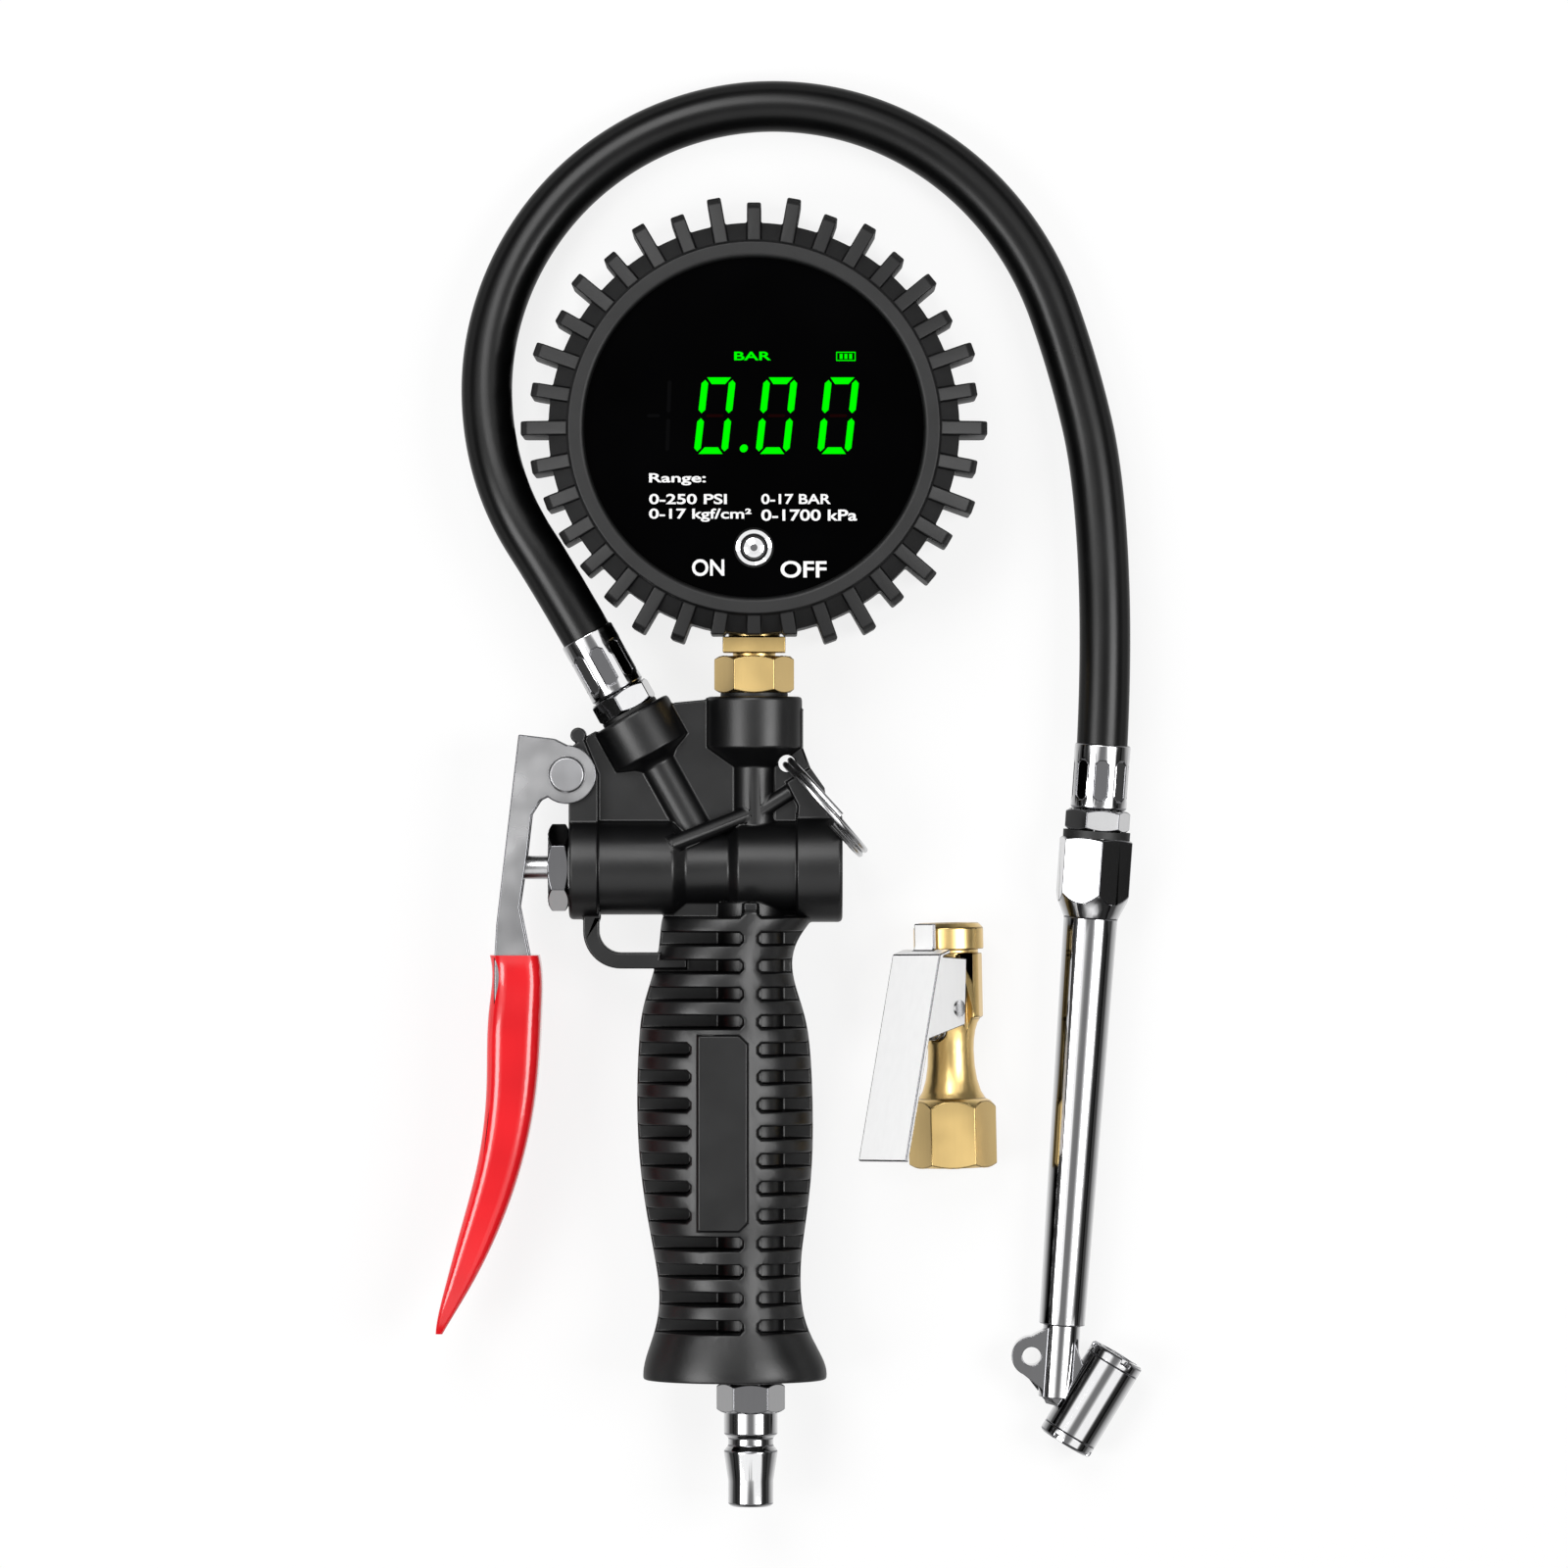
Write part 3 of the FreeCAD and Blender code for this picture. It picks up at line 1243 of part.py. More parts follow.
def rounded_rectangle(name, half_width, half_height, radius, where):
    """A sketch of a rectangle about its origin with round corners, for a loft."""
    sketch = doc.addObject("Sketcher::SketchObject", name)
    sizes = [as_size(value) for value in (half_width, half_height, radius)]
    wide, high, bend = [size.number for size in sizes]
    flat_x = wide - bend
    flat_y = high - bend
    corners = [(-1, -1), (1, -1), (1, 1), (-1, 1)]
    for i, (side_x, side_y) in enumerate(corners):
        next_x, next_y = corners[(i + 1) % 4]
        across = side_x == next_x
        start = Vector(side_x * (wide if across else flat_x), side_y * (flat_y if across else high), 0)
        end = Vector(next_x * (wide if across else flat_x), next_y * (flat_y if across else high), 0)
        sketch.addGeometry(Part.LineSegment(start, end), False)
        centre = Vector(next_x * flat_x, next_y * flat_y, 0)
        circle = Part.Circle(centre, Vector(0, 0, 1), bend)
        first = -math.pi / 2 + i * math.pi / 2
        sketch.addGeometry(Part.ArcOfCircle(circle, first, first + math.pi / 2), False)
    for i in range(4):
        line = 2 * i
        arc = line + 1
        after = (line + 2) % 8
        sketch.addConstraint(Sketcher.Constraint("Tangent", line, 2, arc, 1))
        sketch.addConstraint(Sketcher.Constraint("Tangent", arc, 2, after, 1))
    for line, kind in ((0, "Horizontal"), (2, "Vertical"), (4, "Horizontal"), (6, "Vertical")):
        sketch.addConstraint(Sketcher.Constraint(kind, line))
    for arc in (3, 5, 7):
        sketch.addConstraint(Sketcher.Constraint("Equal", 1, arc))
    pins = [
        Sketcher.Constraint("DistanceY", 0, 1, -1, 1, high),
        Sketcher.Constraint("DistanceX", -1, 1, 2, 1, wide),
        Sketcher.Constraint("DistanceY", -1, 1, 4, 1, high),
        Sketcher.Constraint("DistanceX", 6, 1, -1, 1, wide),
        Sketcher.Constraint("Radius", 1, bend),
    ]
    for pin, size in zip(pins, (sizes[1], sizes[0], sizes[1], sizes[0], sizes[2])):
        index = sketch.addConstraint(pin)
        sketch.setExpression(f"Constraints[{index}]", size.text)
    sketch.setExpression("Placement", where)
    return sketch


def make_sleeve():
    """Red sleeve: a soft grip lofted along the lever, hollow where the steel goes in."""
    sections = []
    thickest = D.clevis_thickness / 2 + D.lever_gap + D.sheet + D.sleeve_wall
    for i, (y, left, right, taper) in enumerate(SLEEVE_SECTIONS):
        half_width = (right - left) / 2
        half_depth = thickest * taper
        bend = min(half_width, half_depth.number) * 0.62
        place = frame(
            D.pivot_x + (left + right) / 2, D.pivot_y + y, D.middle_height, ("x", -90)
        )
        sections.append(
            rounded_rectangle(f"sleeve_section_{i}", half_width, half_depth, bend, place)
        )
    skin = doc.addObject("Part::Loft", "sleeve_skin")
    skin.Sections = sections
    skin.Solid = True
    at = frame(D.pivot_x, D.pivot_y, D.middle_height)
    grow = D.slip_gap
    half = D.clevis_thickness / 2 + D.lever_gap + D.sheet + grow
    (back_x, back_y), (front_x, front_y) = LEVER_BACK[-1], LEVER_FRONT[0]
    back = [(x - grow, y) for x, y in LEVER_BACK[1:-1]] + [(back_x - grow, back_y - grow)]
    front = [(front_x + grow, front_y - grow)] + [(x + grow, y) for x, y in LEVER_FRONT[1:5]]
    space = plate("sleeve_space", back + front, -half, 2 * half, at)
    node("lever_sleeve", without("lever_sleeve", skin, space))


def make_pin():
    """Lever pin: a rivet with a head on each side of the lever."""
    half = D.clevis_thickness / 2 + D.lever_gap + D.sheet + D.slip_gap
    top = half + D.rivet_height
    profile = [
        (0, -top),
        (D.rivet_radius - 0.5, -top),
        (D.rivet_radius, 0.5 - top),
        (D.rivet_radius, -half),
        (D.pin_radius, -half),
        (D.pin_radius, half),
        (D.rivet_radius, half),
        (D.rivet_radius, top - 0.5),
        (D.rivet_radius - 0.5, top),
        (0, top),
    ]
    at = frame(D.pivot_x, D.pivot_y, D.middle_height)
    node("lever_pin", turned("lever_pin", profile, at))


def make_key_ring():
    """Split ring of two turns through the lug's hole, standing square to the gun."""
    radius = D.key_ring_radius
    centre_x = D.lug_hole_x + radius * cosine(D.key_ring_turn)
    centre_y = D.lug_hole_y + radius * sine(D.key_ring_turn)
    turns = 2
    length = D.key_ring_wire * (2 * turns + 2) + 0.1 * turns
    at = frame(centre_x, centre_y, D.middle_height, ("z", D.key_ring_turn), ("x", 90))
    ring_at = inside(at, 0, 0, -length / 2, ("z", 75))
    node("key_ring", coil("key_ring", radius, D.key_ring_wire, length, turns, ring_at))


def placed(expression):
    """The placement that an expression stands for, read back from the document."""
    marker = doc.addObject("Part::Vertex", "marker")
    marker.setExpression("Placement", expression)
    doc.recompute()
    place = FreeCAD.Placement(marker.Placement)
    doc.removeObject(marker.Name)
    return place


def hose_start_height():
    """Distance from a nipple's hexagon to the hose's end inside the ferrule."""
    return D.ferrule_base + 2 * D.slip_gap


def port_nipple_top():
    return D.slip_gap + D.washer_thickness + D.slip_gap + D.nipple_hex_length


def chuck_nipple_top():
    return D.slip_gap + D.chuck_seal_thickness + D.slip_gap + D.nipple_hex_length


def hose_points():
    """Corner points of the hose's route, from the gun's port to the chuck."""
    port = placed(HOSE_PORT)
    chuck = placed(CHUCK)
    start = port_nipple_top() + hose_start_height()
    end = chuck_nipple_top() + hose_start_height()
    points = [port * Vector(0, 0, start.number)]
    points.append(port * Vector(0, 0, start.number + HOSE_FIRST_RUN))
    points += [Vector(*point) for point in HOSE_ROUTE]
    points.append(chuck * Vector(0, 0, end.number + HOSE_LAST_RUN))
    points.append(chuck * Vector(0, 0, end.number))
    return points


def make_hose():
    """Hollow rubber hose along its route."""
    points = hose_points()
    path, radii = rounded_path(points)
    way = (points[1] - points[0]).normalize()
    pipes = []
    for radius in (SIZES["hose_radius"], SIZES["hose_bore_radius"]):
        circle = Part.Wire(Part.Circle(points[0], way, radius).toShape())
        pipes.append(path.makePipeShell([circle], True, False))
    hose = doc.addObject("Part::Feature", "hose")
    hose.Shape = pipes[0].cut(pipes[1])
    node("hose", hose)
    area = math.pi * (SIZES["hose_radius"] ** 2 - SIZES["hose_bore_radius"] ** 2)
    print("hose radii:", " ".join(f"{radius:.0f}" for radius in radii))
    print(f"hose length {path.Length:.1f} mm, least height {min(p.z for p in points):.2f} mm")
    print(f"hose volume {hose.Shape.Volume:.1f} of {area * path.Length:.1f} mm3")


def make_fitting(name, where, foot, turn):
    """Nipple with a hexagon, and the crimped ferrule that holds the hose on it."""
    hex_end = foot + D.nipple_hex_length
    tail_end = hex_end + D.nipple_tail_length
    stud_end = foot - D.nipple_stud_length
    tail = D.nipple_tail_radius
    profile = [
        (D.nipple_bore_radius, stud_end),
        (D.nipple_stud_radius - 0.7, stud_end),
        (D.nipple_stud_radius, stud_end + 0.7),
        (D.nipple_stud_radius, hex_end - 1),
        (tail, hex_end - 1),
        (tail, tail_end - 0.8),
        (tail - 0.6, tail_end),
        (D.nipple_bore_radius, tail_end),
    ]
    core = turned(f"{name}_nipple_core", profile, where)
    nut = hexagon(f"{name}_nipple_hex", D.nipple_flats, foot, hex_end, where, turn)
    bore = rod(f"{name}_nipple_bore", D.nipple_bore_radius, stud_end - 1, tail_end + 1, where)
    whole = joined(f"{name}_nipple_whole", core, nut)
    node(f"hose_nipple_{name}", without(f"hose_nipple_{name}", whole, bore))
    low = hex_end + D.slip_gap
    high = low + D.ferrule_length
    inner = D.hose_radius + D.slip_gap
    sleeve = [
        (tail + D.slip_gap, low),
        (D.ferrule_radius - 0.5, low),
        (D.ferrule_radius, low + 0.5),
        (D.ferrule_radius, high - 0.4),
        (D.ferrule_radius - 0.2, high),
        (inner, high),
        (inner, low + D.ferrule_base),
        (tail + D.slip_gap, low + D.ferrule_base),
    ]
    shell = turned(f"{name}_ferrule_shell", sleeve, where)
    half_width = D.crimp_width / 2
    half_length = D.crimp_length / 2
    nose = 1.0
    slot = [
        (-half_width, nose - half_length),
        (nose - half_width, -half_length),
        (half_width - nose, -half_length),
        (half_width, nose - half_length),
        (half_width, half_length - nose),
        (half_width - nose, half_length),
        (nose - half_width, half_length),
        (-half_width, half_length - nose),
    ]
    crimps = []
    for i in range(round(SIZES["crimp_count"])):
        angle = 360 / D.crimp_count * i
        at = inside(where, 0, 0, low + D.ferrule_length * 0.45, ("z", angle), ("x", 90))
        seat = D.ferrule_radius - D.crimp_depth
        crimps.append(plate(f"{name}_crimp_{i}", slot, seat, 2, at))
    node(f"hose_ferrule_{name}", without(f"hose_ferrule_{name}", shell, *crimps))


def make_hose_ends():
    """Fittings and seals at both ends of the hose."""
    inner = D.nipple_stud_radius + D.soft_gap
    low = D.slip_gap
    top = low + D.washer_thickness
    node("hose_seal_gun", ring("hose_seal_gun", inner, 7.0, low, top, HOSE_PORT))
    make_fitting("gun", HOSE_PORT, top + D.slip_gap, 20)
    top = low + D.chuck_seal_thickness
    node("hose_seal_chuck", ring("hose_seal_chuck", inner, 7.9, low, top, CHUCK))
    make_fitting("chuck", CHUCK, top + D.slip_gap, 8)


def head_port(name):
    """Air way from the end of the tube's bore to the middle of the head."""
    start_y = D.neck_start - D.spigot_length + 0.5
    run_x = SIZES["head_x"]
    run_y = SIZES["head_y"] - start_y.number
    length = math.hypot(run_x, run_y)
    turn = math.degrees(math.atan2(-run_x, run_y))
    at = inside(CHUCK_PLANE, 0, start_y, 0, ("z", turn), ("x", -90))
    return rod(name, 1.3, 0, length, at)


def make_chuck_stem():
    """Long chuck stem: a hexagon with a socket, a tube and a spigot into the head."""
    shoulder = -D.chuck_hex_length
    corner = D.chuck_flats / math.sqrt(3) + 0.02
    flat = D.chuck_flats / 2
    outline = [
        (0, D.chuck_cone_end),
        (D.tube_top_radius, D.chuck_cone_end),
        (flat, shoulder - 0.6),
        (corner, shoulder + 1.6),
        (corner, -0.5),
        (flat, 0),
        (0, 0),
    ]
    bar = prism("stem_bar", 6, D.chuck_flats, D.chuck_cone_end, 0, CHUCK, D.chuck_hex_turn)
    hexa = shared("stem_hex", bar, turned("stem_hex_turned", outline, CHUCK))
    tube = [
        (0, D.neck_start - D.spigot_length),
        (D.spigot_radius, D.neck_start - D.spigot_length),
        (D.spigot_radius, D.neck_start + D.slip_gap),
        (D.tube_end_radius, D.neck_start + D.slip_gap),
        (D.tube_top_radius, shoulder),
        (0, shoulder),
    ]
    whole = joined("stem_joined", hexa, turned("stem_tube", tube, CHUCK))
    socket = [
        (0, D.neck_start - D.spigot_length - 1),
        (D.tube_bore_radius, D.neck_start - D.spigot_length - 1),
        (D.tube_bore_radius, -D.nipple_stud_length - 2),
        (D.nipple_stud_radius + D.slip_gap, -D.nipple_stud_length - 1),
        (D.nipple_stud_radius + D.slip_gap, 1),
        (0, 1),
    ]
    node("chuck_stem", without("chuck_stem", whole, turned("stem_hollow", socket, CHUCK)))


def make_chuck_head():
    """Head: a cross barrel with a neck for the tube and a flat ear with a hang hole."""
    half = D.head_half_length
    barrel = rod("head_barrel", D.head_radius, -half, half, HEAD)
    thick = D.hang_ear_thickness / 2
    hole = inside(CHUCK_PLANE, D.ear_hole_x, D.ear_hole_y, 0)
    ear = rod("head_ear", D.hang_ear_radius, -thick, thick, hole)
    web = [
        (-3.6, D.ear_hole_y + 6.8),
        (D.ear_hole_x - 0.5, D.ear_hole_y + 4.6),
        (D.ear_hole_x - 2.5, D.ear_hole_y - 3.8),
        (-4.6, D.ear_hole_y - 7.0),
        (-2.6, D.ear_hole_y - 10.8),
        (D.head_x - 3, D.head_y - 3),
        (D.head_x, D.head_y + 2),
        (4.6, D.ear_hole_y + 1.0),
        (2.0, D.ear_hole_y + 6.8),
    ]
    flat = plate("head_web", web, -thick, D.hang_ear_thickness, CHUCK_PLANE)
    neck = rod("head_neck", D.head_neck_radius, D.tube_end, D.neck_start, CHUCK)
    whole = joined("head_whole", barrel, ear, flat, neck)
    bore = [
        (0, -half - 1),
        (D.head_bore_radius, -half - 1),
        (D.head_bore_radius, -D.head_partition),
        (D.plunger_bore_radius, -D.head_partition),
        (D.plunger_bore_radius, D.head_partition),
        (D.head_bore_radius, D.head_partition),
        (D.head_bore_radius, half + 1),
        (0, half + 1),
    ]
    chamber = turned("head_chamber", bore, HEAD)
    hang = rod("head_hang_hole", D.ear_hole_radius, -10, 10, hole)
    fit = D.spigot_radius + D.slip_gap
    socket_end = D.neck_start - D.spigot_length - D.slip_gap
    socket = rod("head_socket", fit, socket_end, D.neck_start + 1, CHUCK)
    node("chuck_head", without("chuck_head", whole, chamber, hang, socket, head_port("head_port")))


def make_chuck_foot(name, where):
    """One foot of the head: castle cap, rubber seal and the plunger in its middle."""
    face = D.head_half_length + D.slip_gap
    end = face + D.cap_length
    inner = D.head_partition + D.slip_gap
    seal_end = inner + 2.4
    spigot = seal_end + D.slip_gap
    thread = D.head_bore_radius - D.slip_gap
    tip = seal_end + 1.2
    lip = tip + 0.25
    profile = [
        (D.mouth_radius, lip),
        (D.mouth_radius + 0.3, lip),
        (D.mouth_radius + 0.3, spigot),
        (thread, spigot),
        (thread, face - 0.6),
        (thread, face),
        (D.head_radius, face),
        (D.head_radius, end - 0.5),
        (D.head_radius - 0.5, end),
        (D.mouth_radius, end),
    ]
    cap = turned(f"{name}_cap_ring", profile, where)
    notches = []
    for i in range(round(SIZES["cap_notches"])):
        angle = 360 / D.cap_notches * i + 20
        at = inside(where, 0, 0, 0, ("z", angle))
        low = (D.mouth_radius + 0.5, -1.1, end - 1.3)
        notches.append(block(f"{name}_notch_{i}", low, (10, 1.1, end + 1), at))
    node(f"chuck_cap_{name}", without(f"chuck_cap_{name}", cap, *notches))
    seal = ring(f"chuck_seal_{name}", 1.9, thread, inner, seal_end, where)
    node(f"chuck_seal_{name}", seal)
    disc_top = D.head_partition
    disc = disc_top - 1.0
    profile = [
        (0, disc),
        (D.plunger_bore_radius - D.slip_gap, disc),
        (D.plunger_bore_radius - D.slip_gap, disc_top),
        (1.2, disc_top),
        (1.2, tip - 0.3),
        (0.9, tip),
        (0, tip),
    ]
    node(f"chuck_plunger_{name}", turned(f"chuck_plunger_{name}", profile, where))


def make_chuck():
    make_chuck_stem()
    make_chuck_head()
    make_chuck_foot("top", HEAD)
    make_chuck_foot("bottom", inside(HEAD, 0, 0, 0, ("x", 180)))
    half = D.head_partition - 1.0 - D.slip_gap
    at = inside(HEAD, 0, 0, -half)
    node("chuck_spring", coil("chuck_spring", 2.0, 0.2, 2 * half, 3, at))


def bell_profile():
    """Concave bell between the clip chuck's base and its upper part."""
    foot = D.clip_flats / 2 + 0.1
    points = []
    steps = 5
    for i in range(steps + 1):
        swing = 90 * i / steps
        share = 1 - math.sin(math.radians(swing))
        height = 1 - math.cos(math.radians(swing))
        radius = D.clip_waist_radius + (foot - D.clip_waist_radius) * share
        rise = D.clip_waist_at - D.clip_base_length
        points.append((radius, D.clip_base_length + rise * height))
    for i in range(1, steps):
        swing = 90 * i / steps
        share = 1 - math.cos(math.radians(swing))
        height = math.sin(math.radians(swing))
        radius = D.clip_waist_radius + (D.clip_neck_radius - D.clip_waist_radius) * share
        rise = D.clip_shoulder_at - D.clip_waist_at
        points.append((radius, D.clip_waist_at + rise * height))
    return points


def make_clip_body():
    """Brass body: hexagonal base, bell, faceted upper part, groove and collar."""
    corner = D.clip_flats / math.sqrt(3) + 0.02
    flat = D.clip_flats / 2
    profile = [(0, 0), (flat, 0), (corner, 0.8), (corner, D.clip_base_length - 1.5)]
    profile += bell_profile()
    profile += [
        (D.clip_neck_radius, D.clip_shoulder_at),
        (D.clip_neck_radius, CLIP_GROOVE),
        (D.clip_neck_radius - 0.9, CLIP_GROOVE),
        (D.clip_neck_radius - 0.9, CLIP_GROOVE + 1.0),
        (D.clip_collar_radius, CLIP_GROOVE + 1.0),
        (D.clip_collar_radius, D.clip_length - 1.2),
        (D.clip_collar_radius - 1.2, D.clip_length),
        (0, D.clip_length),
    ]
    core = turned("clip_core", profile, CLIP)
    base = prism("clip_base", 6, D.clip_flats, 0, D.clip_waist_at, CLIP)
    neck_flats = 2 * D.clip_neck_radius - 0.7
    neck = prism("clip_neck", 8, neck_flats, D.clip_waist_at, CLIP_GROOVE, CLIP, 11)
    collar = rod("clip_collar", D.clip_collar_radius, CLIP_GROOVE, D.clip_length, CLIP)
    blank = joined("clip_blank", base, neck, collar)
    shape = shared("clip_shape", core, blank)
    half = D.clip_lever_width / 2 - D.clip_sheet - D.lever_gap
    sides = []
    for name, near, far in (("left", -12, -half), ("right", half, 12)):
        low = D.clip_shoulder_at - 5
        sides.append(block(f"clip_flat_{name}", (1.0, near, low), (12, far, CLIP_GROOVE - 0.2), CLIP_SIDE))
    bore = [
        (0, -1),
        (D.clip_thread_radius, -1),
        (D.clip_thread_radius, D.clip_thread_depth),
        (2.5, D.clip_thread_depth + 1.5),
        (2.5, D.clip_length - D.clip_pocket_depth),
        (D.clip_pocket_radius, D.clip_length - D.clip_pocket_depth),
        (D.clip_pocket_radius, D.clip_length - D.clip_mouth_depth),
        (D.clip_mouth_radius, D.clip_length - D.clip_mouth_depth),
        (D.clip_mouth_radius, D.clip_length + 1),
        (0, D.clip_length + 1),
    ]
    inner = turned("clip_bore", bore, CLIP)
    pin_at = inside(CLIP_SIDE, D.clip_pin_out, 0, D.clip_pin_up, ("x", 90))
    pin_hole = rod("clip_pin_hole", D.clip_pin_radius + D.slip_gap, -10, 10, pin_at)
    well_at = inside(CLIP_SIDE, 0, 0, D.clip_spring_up, ("y", 90))
    well = rod("clip_spring_well", D.clip_spring_radius + 0.6, 4.0, 12, well_at)
    tools = sides + [inner, pin_hole, well]
    node("clip_chuck_body", without("clip_chuck_body", shape, *tools))


def clip_plate_at(height):
    """Distance of the clip lever's inner face from the axis, at a height."""
    return (CLIP_GROOVE - 0.4 - height) * 0.312 + 11.7


def make_clip_lever():
    """Chromed lever: a splayed plate with a tab over the collar and two ears."""
    sheet_metal = D.clip_sheet
    half = D.clip_lever_width / 2
    low = 2.4
    high = CLIP_GROOVE - 0.4
    plate_side = [
        (clip_plate_at(low), low),
        (clip_plate_at(low) + sheet_metal * 1.05, low + 0.3),
        (clip_plate_at(high) + sheet_metal * 1.05, high + 0.5),
        (D.clip_collar_radius + 0.4, high + 1.6),
        (D.clip_collar_radius + 0.4, high + 0.6),
        (clip_plate_at(high) - 0.4, high),
    ]
    upright = ("x", 90)
    at = inside(CLIP_SIDE, 0, 0, 0, upright)
    main = plate("clip_lever_plate", plate_side, -half, D.clip_lever_width, at)
    tab_foot = D.clip_collar_radius + 0.4
    tab = [
        (tab_foot, high + 0.6),
        (tab_foot + sheet_metal * 1.6, high + 0.9),
        (tab_foot + sheet_metal, high + 2.4),
        (tab_foot + sheet_metal, D.clip_length),
        (tab_foot, D.clip_length),
    ]
    tongue = plate("clip_lever_tab", tab, -2.9, 5.8, at)
    ear_low = D.clip_shoulder_at - 1.7
    ear = [
        (3.4, ear_low),
        (clip_plate_at(30.7) + 0.3, 30.7),
        (clip_plate_at(high) + 0.3, high),
        (2.3, high - 0.7),
    ]
    ears = []
    for name, start in (("left", -half), ("right", half - sheet_metal)):
        ears.append(plate(f"clip_ear_{name}", ear, start, sheet_metal, at))
    pin_at = inside(CLIP_SIDE, D.clip_pin_out, 0, D.clip_pin_up, upright)
    pin_hole = rod("clip_ear_hole", D.clip_pin_radius + D.slip_gap, -10, 10, pin_at)
    whole = joined("clip_lever_whole", main, tongue, *ears)
    node("clip_chuck_lever", without("clip_chuck_lever", whole, pin_hole))
    reach = half + D.slip_gap
    profile = [
        (0, -reach - 0.6),
        (1.9, -reach - 0.6),
        (1.9, -reach),
        (D.clip_pin_radius, -reach),
        (D.clip_pin_radius, reach),
        (1.9, reach),
        (1.9, reach + 0.6),
        (0, reach + 0.6),
    ]
    node("clip_chuck_pin", turned("clip_chuck_pin", profile, pin_at))


def make_clip_inside():
    """Spring under the lever, rubber seal and valve depressor in the mouth."""
    foot = 4.0 + D.slip_gap
    reach = clip_plate_at(SIZES["clip_spring_up"]) - 0.5
    at = inside(CLIP_SIDE, 0, 0, D.clip_spring_up, ("y", 90))
    at = inside(at, 0, 0, foot)
    spring = coil("clip_spring", D.clip_spring_radius, D.clip_spring_wire, reach - foot, 6, at)
    node("clip_chuck_spring", spring)
    floor = D.clip_length - D.clip_pocket_depth + D.slip_gap
    outer = D.clip_pocket_radius - D.slip_gap
    spider = floor + 1.5
    tip = floor + 7
    profile = [(0, floor), (outer, floor), (outer, spider), (1.0, spider + 0.3)]
    profile += [(1.0, tip - 0.3), (0.7, tip), (0, tip)]
    node("clip_chuck_depressor", turned("clip_chuck_depressor", profile, CLIP))
    start = spider + 0.3 + D.slip_gap
    node("clip_chuck_seal", ring("clip_chuck_seal", 1.8, outer, start, start + 3.2, CLIP))


def make_all():
    make_gauge_boot()
    make_gauge_case()
    make_batteries()
    make_gauge_inside()
    make_button()
    make_gauge_stem()
    make_gun_body()
    make_inlet()
    make_valve()
    make_lever()
    make_sleeve()
    make_pin()
    make_key_ring()
    make_hose()
    make_hose_ends()
    make_chuck()
    make_clip_body()
    make_clip_lever()
    make_clip_inside()


def check_and_write():
    """Stop at any failed object, then write one file for each piece."""
    doc.recompute()
    for thing in doc.Objects:
        if "Invalid" in thing.State or "Error" in thing.State:
            raise RuntimeError(f"{thing.Label} is {thing.State}")
    os.makedirs("parts", exist_ok=True)
    for label, thing in NODES.items():
        shape = thing.Shape
        if shape.isNull() or not shape.isValid():
            raise RuntimeError(f"{label} has no valid shape")
        shape.exportStep(f"parts/{label}.step")
        print(f"{label}: {len(shape.Solids)} solids, {shape.Volume:.1f} mm3")


make_all()
check_and_write()
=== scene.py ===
import math

import bmesh
import bpy
from bpy.props import FloatProperty, FloatVectorProperty, IntProperty, PointerProperty
from bpy.types import Operator, Panel, PropertyGroup
from mathutils import Matrix, Vector
from mathutils.bvhtree import BVHTree


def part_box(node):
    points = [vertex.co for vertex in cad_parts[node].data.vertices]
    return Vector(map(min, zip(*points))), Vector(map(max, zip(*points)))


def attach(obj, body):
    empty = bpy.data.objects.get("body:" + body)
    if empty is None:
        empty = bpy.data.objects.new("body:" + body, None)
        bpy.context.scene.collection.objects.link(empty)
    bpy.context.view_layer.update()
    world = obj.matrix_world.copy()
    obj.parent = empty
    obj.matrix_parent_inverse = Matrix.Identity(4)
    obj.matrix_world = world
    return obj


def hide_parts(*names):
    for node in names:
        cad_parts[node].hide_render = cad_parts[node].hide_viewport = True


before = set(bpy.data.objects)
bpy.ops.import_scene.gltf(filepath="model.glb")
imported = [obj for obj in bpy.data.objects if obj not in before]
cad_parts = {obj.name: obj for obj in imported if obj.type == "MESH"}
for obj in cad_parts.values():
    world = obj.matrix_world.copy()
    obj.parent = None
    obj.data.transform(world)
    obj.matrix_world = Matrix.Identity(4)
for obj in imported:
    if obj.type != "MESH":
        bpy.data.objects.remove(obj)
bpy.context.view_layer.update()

bl_info = {
    "name": "Tyre inflator dressing",
    "version": (1, 0, 0),
    "blender": (4, 5, 0),
    "location": "3D View > Sidebar > Inflator",
    "description": "Finishes, hose, gauge face and studio for a tyre inflator with a gauge",
    "category": "Object",
}

MM = 0.001

# Route of the hose in metres, from the gun's port round the gauge to the chuck
HOSE_ROUTE = [
    (-0.0322, -0.0606, 0.0180),
    (-0.0451, -0.0375, 0.0180),
    (-0.0597, -0.0150, 0.0155),
    (-0.0642, 0.0114, 0.0110),
    (-0.0588, 0.0363, 0.0076),
    (-0.0448, 0.0574, 0.0062),
    (-0.0242, 0.0719, 0.0061),
    (0.0003, 0.0781, 0.0061),
    (0.0260, 0.0749, 0.0061),
    (0.0490, 0.0622, 0.0061),
    (0.0662, 0.0416, 0.0061),
    (0.0754, 0.0155, 0.0066),
    (0.0816, -0.0115, 0.0078),
    (0.0832, -0.0582, 0.0104),
    (0.0811, -0.0881, 0.0098),
]

# Points of a CAD mesh nearer than this, in metres, are one point
MERGE_DISTANCE = 0.000002
# Angles in degrees: flat enough to be one face, and sharp enough to be rounded
FLAT_ANGLE = 1.0
SHARP_ANGLE = 28.0
# Angles in degrees from which an edge stays a crease, on rounded pieces and on plain ones
ROUNDED_CREASE = 40.0
PLAIN_CREASE = 35.0
